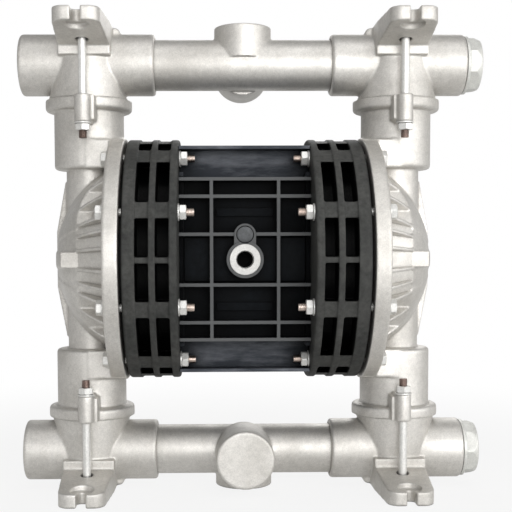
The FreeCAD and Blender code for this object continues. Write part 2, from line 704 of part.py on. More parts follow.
def cover():
    """The ribbed dome casting with its column, necks, ears and flange ring."""
    capEdge = "(domeCentre + sqrt(domeRadius^2 - capRadius^2))"
    flangeTop = "(coverFace + flangeThickness)"
    apex = "(domeCentre + domeRadius)"
    domeStart = ("domeCentre", "0", "0")
    front = cylinder("flangeRadius", f"{apex} - coverFace", ("coverFace", "0", "0"), "x")
    flange = turned(
        [("0", "0"), ("0", "flangeRadius"), ("flangeThickness", "flangeRadius"), ("flangeThickness", "0")],
        ("coverFace", "0", "0"), "x", "flangeEdgeRadius", [(sheet.flangeThickness, sheet.flangeRadius)])
    pocketFloor = common(ball("pocketFloorRadius", domeStart), front)
    # Seen along X, the raised part of the dome is a disc with a tapered crown above and below
    crown = outlineBar(
        [("-crownTopHalfWidth", "crownTop"), ("-crownHalfWidth", "crownShoulder"),
         ("-crownHalfWidth", "-crownShoulder"), ("-crownTopHalfWidth", "-crownTop"),
         ("crownTopHalfWidth", "-crownTop"), ("crownHalfWidth", "-crownShoulder"),
         ("crownHalfWidth", "crownShoulder"), ("crownTopHalfWidth", "crownTop")], f"{apex}*2", "yz")
    disc = cylinder("capRadius", f"{apex} - coverFace", ("coverFace", "0", "0"), "x")
    cap = common(ball("domeRadius", domeStart), front, fuse(disc, crown))
    plates = [radialPlate(angle, up) for up in ("1", "-1") for angle in
              ("ribAngleOne", "ribAngleTwo", "ribAngleThree", "ribAngleFour", "ribAngleFive")]
    ribs = common(fuse(*plates), common(ball("domeRadius", domeStart), front))
    hollow = outlineBar(
        [("-bandReach", "hollowEndHalf"), ("-bandReach", "-hollowEndHalf"),
         ("-hollowBendOffset", "-hollowBendHalf"), ("0", "-hollowMiddleHalf"),
         ("hollowBendOffset", "-hollowBendHalf"), ("bandReach", "-hollowEndHalf"),
         ("bandReach", "hollowEndHalf"), ("hollowBendOffset", "hollowBendHalf"),
         ("0", "hollowMiddleHalf"), ("-hollowBendOffset", "hollowBendHalf")], f"{apex}*2", "yz")
    hollow = cut(common(hollow, disc), ball("domeRadius - hollowDepth", domeStart))
    band = common(box((capEdge, "-bandReach", "-bandHalfHeight"), (apex, "bandReach", "bandHalfHeight")),
                  ball("domeRadius + bandRise", domeStart))
    column = cylinder("columnRadius", "neckStart*2", ("columnOffset", "0", "-neckStart"))
    fin = outlineBar(
        [("columnOffset", "-finTop"), ("finTopReach", "-finTop"), ("finMiddleReach", "-finMiddleHalfHeight"),
         ("finMiddleReach", "finMiddleHalfHeight"), ("finTopReach", "finTop"), ("columnOffset", "finTop")],
        "finThickness", "xz")
    solids = [flange, pocketFloor, cut(fuse(cap, ribs), hollow), band, column, fin]
    tools = []
    for level in (1, -1):
        if level > 0:
            low, high = "neckStart", "webTop"
            earLow, earHigh = "jointOffset - earLength", "jointOffset"
            ribLow, ribHigh = earLow + " + earRibInset", earHigh
        else:
            low, high = "-webTop", "-neckStart"
            earLow, earHigh = "-jointOffset", "earLength - jointOffset"
            ribLow, ribHigh = earLow, earHigh + " - earRibInset"
        solids += [neck(level),
                   box(("coverFace", "-webHalfDepth", low), ("columnOffset", "webHalfDepth", high))]
        for way in ("-1", "1"):
            inner, outer = "-tieOffset", "-neckRadius + earRadius"
            if way == "1":
                inner, outer = "neckRadius - earRadius", "tieOffset"
            solids += [
                cylinder("earRadius", "earLength", ("columnOffset", f"{way}*tieOffset", earLow)),
                box(("columnOffset - earRadius", inner, earLow),
                    ("columnOffset + earRadius", outer, earHigh)),
                box(("columnOffset - earRadius - earRibWidth", inner, ribLow),
                    ("columnOffset", outer, ribHigh)),
            ]
            tools.append(cylinder("boltHoleRadius", f"earLength + {past}*2",
                                  ("columnOffset", f"{way}*tieOffset", f"{earLow} - {past}")))
    casting = fuse(*solids)
    cagePlace = ("columnOffset", "0", "0")
    cage = cageHollow("-jointOffset", f"({inletBallHeight} + {stopAboveBall})", [])
    tools += [
        common(ball("chamberRadius", domeStart), front),
        cone("chamberMouthRadius", "sqrt(chamberRadius^2 - (flangeThickness + coverFace - domeCentre)^2)",
             "flangeThickness", ("coverFace", "0", "0"), "x"),
        common(ball("domeRadius - capWall", domeStart),
               cylinder("capHollowRadius", f"{apex} - coverFace", ("coverFace", "0", "0"), "x")),
        cylinder("seatBore", f"jointOffset - neckStart/2 + {past}", ("columnOffset", "0", "neckStart/2")),
        cylinder("columnBore", "jointOffset - neckStart/2 - cageRadius",
                 ("columnOffset", "0", "cageRadius - jointOffset")),
        place(cage, cagePlace),
    ]
    for across, up in boltSpots:
        tools += [cylinder("boltHoleRadius", f"flangeThickness + {past}*2",
                           (f"coverFace - {past}", across, up), "x"),
                  cylinder("boltSpotRadius", f"{apex} - {flangeTop}", (flangeTop, across, up), "x")]
    return cut(casting, *tools)


coverCasting = cover()
keep(group(coverCasting), "pump_cover_right")
keep(group(coverCasting), "pump_cover_left", halfTurnZ)


def airChamber():
    """Slotted ring between the centre block and the diaphragm, dished towards the diaphragm."""
    outside = "coverFace - diaphragmRimThickness"
    outsidePlace = sheet.coverFace - sheet.diaphragmRimThickness
    groovedRadius = sheet.ringRadius - sheet.ringGrooveDepth
    shell = turned(
        [("blockFace", "shaftSealRadius"), ("blockFace", "ringRadius - ringGrooveDepth"),
         (outside, "ringRadius - ringGrooveDepth"), (outside, "chamberMouthRadius"),
         ("dishFloor + dishCornerSize", "dishFloorRadius + dishCornerSize"), ("dishFloor", "dishFloorRadius"),
         ("dishFloor", "shaftSealRadius")],
        centre, "x", "ringEdgeRadius", [(sheet.blockFace, groovedRadius), (outsidePlace, groovedRadius)])
    hoops = []
    for start, end, rim in (("blockFace", "innerSlotStart", sheet.blockFace),
                            ("innerSlotEnd", "outerSlotStart", None),
                            ("outerSlotEnd", outside, outsidePlace)):
        hoops.append(turned(
            [(start, "hoopRootRadius"), (start, "ringRadius"), (end, "ringRadius"), (end, "hoopRootRadius")],
            centre, "x", "ringEdgeRadius", [(rim, sheet.ringRadius)] if rim else ()))
    slots = []
    for start, end in (("innerSlotStart", "innerSlotEnd"), ("outerSlotStart", "outerSlotEnd")):
        for low, high in (("middleRibHalf", "lowWebBottom"), ("lowWebTop", "highWebBottom"),
                          ("highWebTop", "crownWebBottom")):
            for bottom, top in ((low, high), ("-" + high, "-" + low)):
                slots.append(box((start, "-flangeRadius", bottom), (end, "-slotMiddleHalf", top)))
                slots.append(box((start, "slotMiddleHalf", bottom), (end, "flangeRadius", top)))
    core = cylinder("ringCoreRadius", "coverFace", centre, "x")
    holes = [cylinder("boltHoleRadius", "coverFace", ("0", across, up), "x") for across, up in boltSpots]
    return cut(fuse(shell, *hoops), cut(fuse(*slots), core), *holes)


chamberRing = airChamber()
keep(group(chamberRing), "air_chamber_right")
keep(group(chamberRing), "air_chamber_left", halfTurnZ)


def diaphragm(label, turn):
    """Moulded diaphragm: a clamped rim, a rolled fold and a flat middle between the plates."""
    face = "coverFace"
    back = "(coverFace - diaphragmRimThickness)"
    foldMiddle = "(foldOuterRadius + foldInnerRadius)/2"
    foldHalf = "(foldOuterRadius - foldInnerRadius)/6"
    keep(turned([
        (back, "diaphragmRimRadius"), (face, "diaphragmRimRadius"), (face, "foldOuterRadius"),
        (f"{face} - foldDepth", f"{foldMiddle} + {foldHalf}"),
        (f"{face} - foldDepth", f"{foldMiddle} - {foldHalf}"),
        (face, "foldInnerRadius"), (face, "shaftBoltRadius + plateGap"),
        (f"{face} - diaphragmThickness", "shaftBoltRadius + plateGap"),
        (f"{face} - diaphragmThickness", "foldInnerRadius - foldWallStep"),
        (f"{face} - foldDepth - diaphragmThickness", f"{foldMiddle} - {foldHalf} - foldWallStep"),
        (f"{face} - foldDepth - diaphragmThickness", f"{foldMiddle} + {foldHalf} + foldWallStep"),
        (back, "foldOuterRadius + foldWallStep")]), label, turn)


diaphragm("diaphragm_right", plain)
diaphragm("diaphragm_left", halfTurnZ)

innerPlateFace = "(coverFace - diaphragmThickness - plateGap)"
outerPlateFace = "(coverFace + plateGap)"
shaftEnd = f"({innerPlateFace} - plateThickness)"
boltHeadFace = f"({outerPlateFace} + outerPlateThickness)"
boltTip = f"({shaftEnd} - shaftBoltDepth)"
shaftBolts = []
for name, turn, way in (("right", plain, "x"), ("left", halfTurnZ, "-x")):
    keep(turned([(shaftEnd, "shaftBoltRadius"), (shaftEnd, "plateRadius - plateBevel"),
                 (f"{shaftEnd} + plateBevel", "plateRadius"), (innerPlateFace, "plateRadius"),
                 (innerPlateFace, "shaftBoltRadius")]), f"inner_plate_{name}", turn)
    keep(turned([(outerPlateFace, "shaftBoltRadius"), (outerPlateFace, "plateRadius"),
                 (f"{outerPlateFace} + outerPlateRimThickness", "plateRadius"),
                 (f"{outerPlateFace} + outerPlateShoulderHeight", "outerPlateShoulderRadius"),
                 (boltHeadFace, "outerPlateCrownRadius"), (boltHeadFace, "shaftBoltRadius")]),
         f"outer_plate_{name}", turn)
    side = "-1*" if way == "-x" else ""
    shaftBolts.append(fuse(
        cylinder("shaftBoltRadius", f"{boltHeadFace} - {boltTip}", (side + boltTip, "0", "0"), way),
        polygonBar(6, "shaftBoltHeadRadius*2*cos(30)", "shaftBoltHeadHeight",
                   (side + boltHeadFace, "0", "0"), way)))
keep(group(*shaftBolts), "shaft_bolts")
shaft = cylinder("shaftRadius", f"{shaftEnd}*2", (f"-{shaftEnd}", "0", "0"), "x")
boltHoles = [cylinder("shaftBoltRadius", f"shaftBoltDepth + {past}", (boltTip, "0", "0"), "x"),
             cylinder("shaftBoltRadius", f"shaftBoltDepth + {past}", (f"-{boltTip}", "0", "0"), "-x")]
keep(cut(shaft, *boltHoles), "diaphragm_shaft")


def sleeveRing(outer, inner, length, at, along="x"):
    return cut(cylinder(outer, length, at, along), cylinder(inner, length, at, along))


shaftHole = "shaftRadius + shaftClearance"
keep(group(sleeveRing("bushRadius", shaftHole, "bushLength", ("blockFace - bushLength", "0", "0")),
           sleeveRing("bushRadius", shaftHole, "bushLength", ("-blockFace", "0", "0"))), "shaft_bushes")
sealStart = "-blockFace - shaftSealLength"
keep(group(sleeveRing("shaftSealRadius", shaftHole, "shaftSealLength", ("blockFace", "0", "0")),
           sleeveRing("shaftSealRadius", shaftHole, "shaftSealLength", (sealStart, "0", "0"))), "shaft_seals")


def slab(halfX, halfY, lowZ, highZ, midX="0"):
    """A box set evenly about the block's upright mid-planes."""
    return box((f"{midX} - ({halfX})", f"-({halfY})", lowZ), (f"{midX} + {halfX}", halfY, highZ))


insertBack = "inletBossFace + insertProud - insertLength"


def centreBlock():
    """Ribbed moulding between the air chambers, open to front and rear, with the inlet boss in front."""
    solids = [
        slab("blockFace", "blockCoreHalfDepth", "-blockHalfHeight", "blockHalfHeight"),
        slab("blockFace", "blockMiddleHalfDepth", "-blockMiddleHalfHeight", "blockMiddleHalfHeight"),
        slab("panelHalfWidth", "panelHalfDepth", "-panelHalfHeight", "panelHalfHeight"),
    ]
    for low, high in (("blockHalfHeight - edgePlateThickness", "blockHalfHeight"),
                      ("-blockHalfHeight", "edgePlateThickness - blockHalfHeight")):
        solids.append(slab("blockFace", "edgePlateHalfDepth", low, high))
    for low, high in (("stripBottom", "stripTop"), ("-stripTop", "-stripBottom")):
        solids.append(slab("stripHalfWidth", "stripHalfDepth", low, high))
    for height in ("blockRibLow", "blockRibMiddle", "blockRibHigh"):
        for up in ("1", "-1"):
            solids.append(slab("blockFace", "blockRibHalfDepth", f"{up}*{height} - blockRibThickness/2",
                               f"{up}*{height} + blockRibThickness/2"))
    for side in ("1", "-1"):
        solids.append(slab("blockRibThickness/2", "blockRibHalfDepth", "-blockRibHigh", "blockRibHigh",
                           f"{side}*uprightOffset"))
        solids.append(slab("sideWallThickness/2", "sideWallHalfDepth", "-sideWallHalfHeight",
                           "sideWallHalfHeight", f"{side}*(blockFace - sideWallThickness/2)"))
    reach = "inletBossFace - blockCoreHalfDepth"
    start = ("0", "-blockCoreHalfDepth", "0")
    lobeReach = "pilotLobeFace - blockCoreHalfDepth"
    solids += [
        cylinder("inletBossRadius", reach, start, "-y"),
        cylinder("pilotLobeRadius", lobeReach, ("0", "-blockCoreHalfDepth", "pilotOffset"), "-y"),
        box(("-pilotLobeRadius", "-pilotLobeFace", "0"),
            ("pilotLobeRadius", "-blockCoreHalfDepth", "pilotOffset")),
        cylinder("mufflerBossRadius", "blockRibHalfDepth - blockCoreHalfDepth",
                 ("0", "blockCoreHalfDepth", "-mufflerDrop"), "y"),
        box(("-valvePadHalfLength", "0", "-valveBodyHalfHeight"),
            ("valvePadHalfLength", "blockRibHalfDepth", "valveBodyHalfHeight")),
    ]
    tools = [
        cylinder("shaftTunnelRadius", "blockFace*2", ("-blockFace", "0", "0"), "x"),
        cylinder("bushRadius", f"bushLength + {past}", ("blockFace - bushLength", "0", "0"), "x"),
        cylinder("bushRadius", f"bushLength + {past}", ("bushLength - blockFace", "0", "0"), "-x"),
        cylinder("insertRadius", f"insertLength + {past}", ("0", f"-({insertBack})", "0"), "-y"),
        cylinder("inletDrillRadius", f"inletDrillDepth + {past}",
                 ("0", f"inletDrillDepth - ({insertBack})", "0"), "-y"),
        cylinder("pilotPlugRadius", f"pilotPlugLength + {past}",
                 ("0", "pilotPlugLength - pilotLobeFace", "pilotOffset"), "-y"),
        cylinder("mufflerSpigotRadius", f"mufflerSpigotLength + {past}",
                 ("0", "blockRibHalfDepth - mufflerSpigotLength", "-mufflerDrop"), "y"),
    ]
    for side in ("1", "-1"):
        for up in ("1", "-1"):
            spot = (f"{side}*(valveBodyHalfLength - bodyScrewInsetX)", "blockRibHalfDepth - bodyScrewGrip",
                    f"{up}*(valveBodyHalfHeight - bodyScrewInsetZ)")
            tools.append(cylinder("bodyScrewRadius", f"bodyScrewGrip + {past}", spot, "y"))
    return keep(cut(fuse(*solids), *tools), "centre_block")


centreBlock()
keep(sleeveRing("insertRadius", "inletThreadRadius", "insertLength", ("0", f"-({insertBack})", "0"), "-y"),
     "air_inlet_insert")
pilotPlug = cylinder("pilotPlugRadius", "pilotPlugLength",
                     ("0", "pilotPlugLength - pilotLobeFace", "pilotOffset"), "-y")
keep(group(pilotPlug), "pilot_port_plug")

# The air valve stands on the block's rear, its spool along X
valveFoot = "(blockRibHalfDepth + gasketThickness)"
spoolPlace = f"({valveFoot} + sleeveBoreDepth)"
screwSpots = [
    (f"{side}*(valveBodyHalfLength - bodyScrewInsetX)", f"{up}*(valveBodyHalfHeight - bodyScrewInsetZ)")
    for side in ("1", "-1") for up in ("1", "-1")]
screwHoles = [cylinder("bodyScrewRadius", "gasketThickness", (across, "blockRibHalfDepth", up), "y")
              for across, up in screwSpots]
keep(cut(box(("-valveBodyHalfLength", "blockRibHalfDepth", "-valveBodyHalfHeight"),
             ("valveBodyHalfLength", valveFoot, "valveBodyHalfHeight")), *screwHoles), "valve_gasket")

bodyBox = box(("-valveBodyHalfLength", valveFoot, "-valveBodyHalfHeight"),
              ("valveBodyHalfLength", f"{valveFoot} + valveBodyDepth", "valveBodyHalfHeight"))
bodyBox = rounded(bodyBox, sheet.valveCornerRadius, lambda edge: (
    edge.BoundBox.XLength > near and edge.CenterOfMass.y > sheet.blockRibHalfDepth + sheet.valveBodyDepth))
capHoles = []
capScrews = []
endCaps = []
for side, way in (("1", "x"), ("-1", "-x")):
    face = f"{side}*valveBodyHalfLength"
    cap = cylinder("endCapRadius", "endCapThickness", (face, spoolPlace, "0"), way)
    cap = rounded(cap, sheet.endCapEdgeRadius,
                  lambda edge: isCircle(edge) and abs(edge.CenterOfMass.x) > sheet.valveBodyHalfLength + near)
    drilled = []
    for angle in (45, 135, 225, 315):
        spot = (f"{spoolPlace} + capScrewCircle*cos({angle})", f"capScrewCircle*sin({angle})")
        bottom = f"{side}*(valveBodyHalfLength + endCapThickness - capScrewLength)"
        drilled.append(cylinder("capScrewRadius", "capScrewLength", (bottom, *spot), way))
        capHoles.append(cylinder("capScrewRadius", "capScrewLength - endCapThickness", (bottom, *spot), way))
        capScrews.append(fuse(
            cylinder("capScrewRadius", f"capScrewLength + {past}", (bottom, *spot), way),
            cylinder("capScrewHeadRadius", "capScrewHeadHeight",
                     (f"{side}*(valveBodyHalfLength + endCapThickness)", *spot), way)))
    endCaps.append(cut(cap, *drilled))
headFloor = f"({valveFoot} + valveBodyDepth - bodyScrewHeadHeight)"
sleeveStart = ("-valveBodyHalfLength", spoolPlace, "0")
bodyTools = [cylinder("valveSleeveRadius", "valveBodyHalfLength*2", sleeveStart, "x")]
bodyScrews = []
for across, up in screwSpots:
    bodyTools += [cylinder("bodyScrewRadius", "valveBodyDepth", (across, valveFoot, up), "y"),
                  cylinder("bodyScrewRecessRadius", f"bodyScrewHeadHeight + {past}",
                           (across, headFloor, up), "y")]
    bottom = "blockRibHalfDepth - bodyScrewGrip"
    bodyScrews.append(fuse(
        cylinder("bodyScrewRadius", f"{headFloor} - ({bottom}) + {past}", (across, bottom, up), "y"),
        cylinder("bodyScrewHeadRadius", "bodyScrewHeadHeight", (across, headFloor, up), "y")))
keep(cut(bodyBox, *bodyTools, *capHoles), "air_valve_body")
keep(group(*bodyScrews), "valve_body_screws")
keep(group(*endCaps), "valve_end_caps")
keep(group(*capScrews), "valve_cap_screws")
keep(sleeveRing("valveSleeveRadius - valveSleeveClearance", "spoolRadius + spoolClearance",
                "valveBodyHalfLength*2", sleeveStart), "valve_sleeve")

spoolBars = [cylinder("spoolNeckRadius", "spoolHalfLength*2", ("-spoolHalfLength", "0", "0"), "x")]
spoolSeals = []
sealGrooves = []
for landMiddle in ("spoolLandLength/2 - spoolHalfLength", "0", "spoolHalfLength - spoolLandLength/2"):
    spoolBars.append(cylinder("spoolRadius", "spoolLandLength",
                              (f"{landMiddle} - spoolLandLength/2", "0", "0"), "x"))
    spoolSeals.append(torus("spoolRadius - spoolSealRadius", "spoolSealRadius", (landMiddle, "0", "0"), "x"))
    sealGrooves.append(sleeveRing(f"spoolRadius + {past}", "spoolRadius - spoolSealRadius*2 - sealClearance",
                                  "(spoolSealRadius + sealClearance)*2",
                                  (f"{landMiddle} - spoolSealRadius - sealClearance", "0", "0")))
keep(cut(fuse(*spoolBars), *sealGrooves), "valve_spool", plain, ("0", spoolPlace, "centreHeight"))
keep(group(*spoolSeals), "spool_seals", plain, ("0", spoolPlace, "centreHeight"))


def muffler():
    """Fluted exhaust muffler screwed into the block's rear."""
    start = "blockRibHalfDepth"
    collarEnd = "mufflerSpigotLength + mufflerCollarLength"
    end = f"{collarEnd} + mufflerLength"
    shape = turned(
        [("0", "0"), ("0", "mufflerSpigotRadius"), ("mufflerSpigotLength", "mufflerSpigotRadius"),
         ("mufflerSpigotLength", "mufflerCollarRadius"), (collarEnd, "mufflerCollarRadius"),
         (collarEnd, "mufflerRadius"), (end, "mufflerRadius"), (end, "0")],
        ("0", f"{start} - mufflerSpigotLength", "-mufflerDrop"), "y", "mufflerFluteRadius",
        [(sheet.mufflerSpigotLength + sheet.mufflerCollarLength + sheet.mufflerLength, sheet.mufflerRadius)])
    flutes = []
    for number in range(int(sheet.mufflerFlutes)):
        angle = f"{number}*360/mufflerFlutes"
        spot = (f"mufflerRadius*cos({angle})", f"{start} + mufflerCollarLength + mufflerFluteRadius*2",
                f"mufflerRadius*sin({angle}) - mufflerDrop")
        flutes.append(cylinder("mufflerFluteRadius", "mufflerLength - mufflerFluteRadius*4", spot, "y"))
    return keep(cut(shape, *flutes), "exhaust_muffler")


muffler()


def hexBolt(length, at, along):
    """Shank and hexagon head; the head's underside is at the place, the shank runs along the direction."""
    back = along[1:] if along[0] == "-" else "-" + along
    return fuse(cylinder("boltRadius", length, at, along),
                polygonBar(6, "nutFlats", "boltHeadHeight", at, back))


def hexNut(at, along):
    return cut(polygonBar(6, "nutFlats", "nutHeight", at, along),
               cylinder("boltRadius", "nutHeight", at, along))


def washer(at, along):
    return sleeveRing("washerRadius", "boltRadius", "washerThickness", at, along)


flangeTop = "coverFace + flangeThickness"
boltLength = f"{flangeTop} - blockFace + washerThickness*2 + nutHeight + boltStub"
for name, side, way, back in (("right", "1", "x", "-x"), ("left", "-1", "-x", "x")):
    bolts, nuts, washers = [], [], []
    for across, up in boltSpots:
        bolts.append(hexBolt(boltLength, (f"{side}*({flangeTop} + washerThickness)", across, up), back))
        washers += [washer((f"{side}*({flangeTop})", across, up), way),
                    washer((f"{side}*blockFace", across, up), back)]
        nuts.append(hexNut((f"{side}*(blockFace - washerThickness)", across, up), back))
    keep(group(*bolts), f"cover_bolts_{name}")
    keep(group(*washers), f"cover_washers_{name}")
    keep(group(*nuts), f"cover_nuts_{name}")

ties, tieNuts, tieWashers = [], [], []
headLevel = "centreHeight - tieHeadRecess"
earEnd = "jointOffset - earLength"
tieLength = f"{headLevel} - ({earEnd}) + washerThickness + nutHeight + boltStub"
for across, front, level in tieSpots:
    inward = "-z" if level > 0 else "z"
    ties.append(hexBolt(tieLength, (across, front, f"{level}*({headLevel})"), inward))
    tieWashers.append(washer((across, front, f"{level}*({earEnd})"), inward))
    tieNuts.append(hexNut((across, front, f"{level}*({earEnd} - washerThickness)"), inward))
keep(group(*ties), "tie_bolts")
keep(group(*tieNuts), "tie_bolt_nuts")
keep(group(*tieWashers), "tie_bolt_washers")

doc.recompute()
failed = []
for item in doc.Objects:
    if "Invalid" in item.State or "Error" in item.State:
        failed.append(f"{item.Name} {item.Label}: {item.State}")
for item in pieces:
    if item.Shape.isNull() or not item.Shape.isValid() or not item.Shape.Solids:
        failed.append(f"{item.Label}: its shape is not a valid solid")
if failed:
    raise RuntimeError("; ".join(failed))

os.makedirs("parts", exist_ok=True)
for item in pieces:
    item.Shape.exportStep(f"parts/{item.Label}.step")
    print(f"{item.Label}: {len(item.Shape.Solids)} solids, {item.Shape.Volume / 1000:.1f} cm3")
print(f"{len(pieces)} pieces written")
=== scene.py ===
import json
import math
import random
import bpy
from mathutils import Matrix, Vector


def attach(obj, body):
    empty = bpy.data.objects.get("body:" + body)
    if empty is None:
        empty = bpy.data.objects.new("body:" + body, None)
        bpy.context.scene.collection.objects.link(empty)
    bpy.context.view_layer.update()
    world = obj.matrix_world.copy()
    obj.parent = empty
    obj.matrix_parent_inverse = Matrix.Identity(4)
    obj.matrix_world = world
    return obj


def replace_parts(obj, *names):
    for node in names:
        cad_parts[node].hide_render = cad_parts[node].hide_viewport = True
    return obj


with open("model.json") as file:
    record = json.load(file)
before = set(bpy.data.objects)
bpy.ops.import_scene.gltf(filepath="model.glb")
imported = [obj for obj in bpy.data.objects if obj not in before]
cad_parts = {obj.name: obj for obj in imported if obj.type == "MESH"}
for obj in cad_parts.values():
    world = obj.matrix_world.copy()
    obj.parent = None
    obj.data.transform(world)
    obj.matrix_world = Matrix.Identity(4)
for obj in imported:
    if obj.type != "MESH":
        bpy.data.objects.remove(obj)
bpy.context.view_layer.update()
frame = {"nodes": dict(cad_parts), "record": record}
scene = bpy.context.scene
nodes = frame["nodes"]
mounts = {mount["name"]: mount for mount in frame["record"]["mounts"]}
slotOf = {part["node"]: part["material_slot"] for part in frame["record"]["subparts"]}
mm = 0.001
pumpCentre = Vector((0, 0, mounts["air_inlet"]["pos_m"][2]))
print("frame loaded:", len(nodes), "nodes")

# Shader building blocks


def addNode(tree, kind, inputs=None, **settings):
    node = tree.nodes.new(kind)
    for key, value in settings.items():
        setattr(node, key, value)
    for key, value in (inputs or {}).items():
        if isinstance(value, bpy.types.NodeSocket):
            tree.links.new(value, node.inputs[key])
        else:
            node.inputs[key].default_value = value
    return node


def makeGroup(name, inputs, outputs):
    group = bpy.data.node_groups.new(name, "ShaderNodeTree")
    for label, kind, value in inputs:
        socket = group.interface.new_socket(name=label, in_out="INPUT", socket_type="NodeSocket" + kind)
        socket.default_value = value
    for label, kind in outputs:
        group.interface.new_socket(name=label, in_out="OUTPUT", socket_type="NodeSocket" + kind)
    given = group.nodes.new("NodeGroupInput").outputs
    out = group.nodes.new("NodeGroupOutput").inputs
    return group, given, out


def rgb(red, green, blue):
    return (red, green, blue, 1.0)


def calc(tree, operation, first, second=0.0):
    return addNode(tree, "ShaderNodeMath", {0: first, 1: second}, operation=operation).outputs[0]


def mixColor(tree, factor, first, second):
    return addNode(tree, "ShaderNodeMix", {0: factor, 6: first, 7: second}, data_type="RGBA").outputs[2]


def scaled(tree, color, factor):
    node = addNode(tree, "ShaderNodeVectorMath", {0: color, "Scale": factor}, operation="SCALE")
    return node.outputs[0]


def remap(tree, value, low, high, newLow=0.0, newHigh=1.0, ease="LINEAR"):
    inputs = {0: value, 1: low, 2: high, 3: newLow, 4: newHigh}
    return addNode(tree, "ShaderNodeMapRange", inputs, interpolation_type=ease).outputs[0]


def noise(tree, scale, detail=3.0, roughness=0.5, vector=None):
    where = vector or addNode(tree, "ShaderNodeTexCoord").outputs["Object"]
    return addNode(tree, "ShaderNodeTexNoise", {"Vector": where, "Scale": scale, "Detail": detail,
                                                "Roughness": roughness}).outputs[0]


def openness(tree, reach, low, high, samples=6):
    # 0 deep in a pocket or corner, 1 on an open face; the skins paint shade by it
    found = addNode(tree, "ShaderNodeAmbientOcclusion", {"Distance": reach}, samples=samples)
    return remap(tree, found.outputs["AO"], low, high)


# Noises are (scale, detail, roughness), the scale in cells a metre. Where the scale is one of the group's
# inputs they are (detail, roughness). Ranges are (low, high) or (low, high, new low, new high)
castGrain = {
    "drift": (4.0, 0.6), "grain": (2.0, 0.6), "dimple": (420.0, 3.0, 0.55),
    "mottle": (230.0, 4.0, 0.7), "pits": (95.0, 5.0, 0.7),
    "toneRange": (0.35, 0.68), "roughRange": (0.35, 0.65), "pitRange": (0.68, 0.76),
    "speckleRange": (0.3, 0.7, 0.88, 1.07), "mottleRange": (0.3, 0.7, 0.91, 1.06),
    # Corners within this reach get painted shade
    "cornerShadeReach": 4 * mm, "cornerShadeRange": (0.3, 0.72),
}


def castSkinGroup():
    # Blasted cast metal: broad tone drift, fine grain, rare pits, and painted shade that darkens the corners
    look = castGrain
    group, given, out = makeGroup("castSkin", [
        ("Tone", "Color", rgb(0.7, 0.7, 0.7)), ("Shade", "Color", rgb(0.5, 0.5, 0.5)),
        ("Drift Scale", "Float", 18.0), ("Grain Scale", "Float", 900.0),
        ("Rough Low", "Float", 0.35), ("Rough High", "Float", 0.5), ("Corner Shade", "Color", rgb(0.3, 0.28, 0.25))],
        [("Color", "Color"), ("Roughness", "Float"), ("Height", "Float")])
    drift = noise(group, given["Drift Scale"], *look["drift"])
    grain = noise(group, given["Grain Scale"], *look["grain"])
    mixed = mixColor(group, remap(group, drift, *look["toneRange"]), given["Tone"], given["Shade"])
    speckle = remap(group, grain, *look["speckleRange"])
    mottle = remap(group, noise(group, *look["mottle"]), *look["mottleRange"])
    speckled = scaled(group, mixed, calc(group, "MULTIPLY", speckle, mottle))
    # Painted shade: corners and hollows are mixed towards the darker corner colour
    unshaded = openness(group, look["cornerShadeReach"], *look["cornerShadeRange"])
    group.links.new(mixColor(group, unshaded, given["Corner Shade"], speckled), out["Color"])
    rough = remap(group, drift, *look["roughRange"], given["Rough Low"], given["Rough High"])
    group.links.new(rough, out["Roughness"])
    pits = remap(group, noise(group, *look["pits"]), *look["pitRange"])
    height = calc(group, "ADD", grain, noise(group, *look["dimple"]))
    group.links.new(calc(group, "SUBTRACT", height, pits), out["Height"])
    return group


rubGrain = {"broken": (160.0, 3.0, 0.6), "brokenRange": (0.3, 0.7, 0.4, 1.0), "edgeRange": (0.99, 0.75)}


def edgeRubGroup():
    # Where an edge is rubbed pale, partly wear and on the plastics partly a painted edge highlight, and a
    # normal that rounds it off
    group, given, out = makeGroup("edgeWearAndHighlight", [("Radius", "Float", 0.8 * mm), ("Amount", "Float", 0.6)],
                                  [("Mask", "Float"), ("Normal", "Vector")])
    soft = addNode(group, "ShaderNodeBevel", {"Radius": given["Radius"]}, samples=6).outputs[0]
    true = addNode(group, "ShaderNodeNewGeometry").outputs["Normal"]
    match = addNode(group, "ShaderNodeVectorMath", {0: soft, 1: true}, operation="DOT_PRODUCT")
    rub = remap(group, match.outputs["Value"], *rubGrain["edgeRange"])
    broken = remap(group, noise(group, *rubGrain["broken"]), *rubGrain["brokenRange"])
    mask = calc(group, "MULTIPLY", calc(group, "MULTIPLY", rub, broken), given["Amount"])
    group.links.new(mask, out["Mask"])
    group.links.new(soft, out["Normal"])
    return group


mouldGrain = {
    "grain": (2.0, 0.5), "cloud": (26.0, 4.0, 0.6), "wear": (210.0, 4.0, 0.7),
    "toneRange": (0.4, 0.75), "roughRange": (0.3, 0.7), "wearRange": (0.3, 0.7, 0.74, 1.26),
    "openRange": (0.35, 0.9), "pocketShadeTone": rgb(0.0012, 0.0013, 0.0016),
}


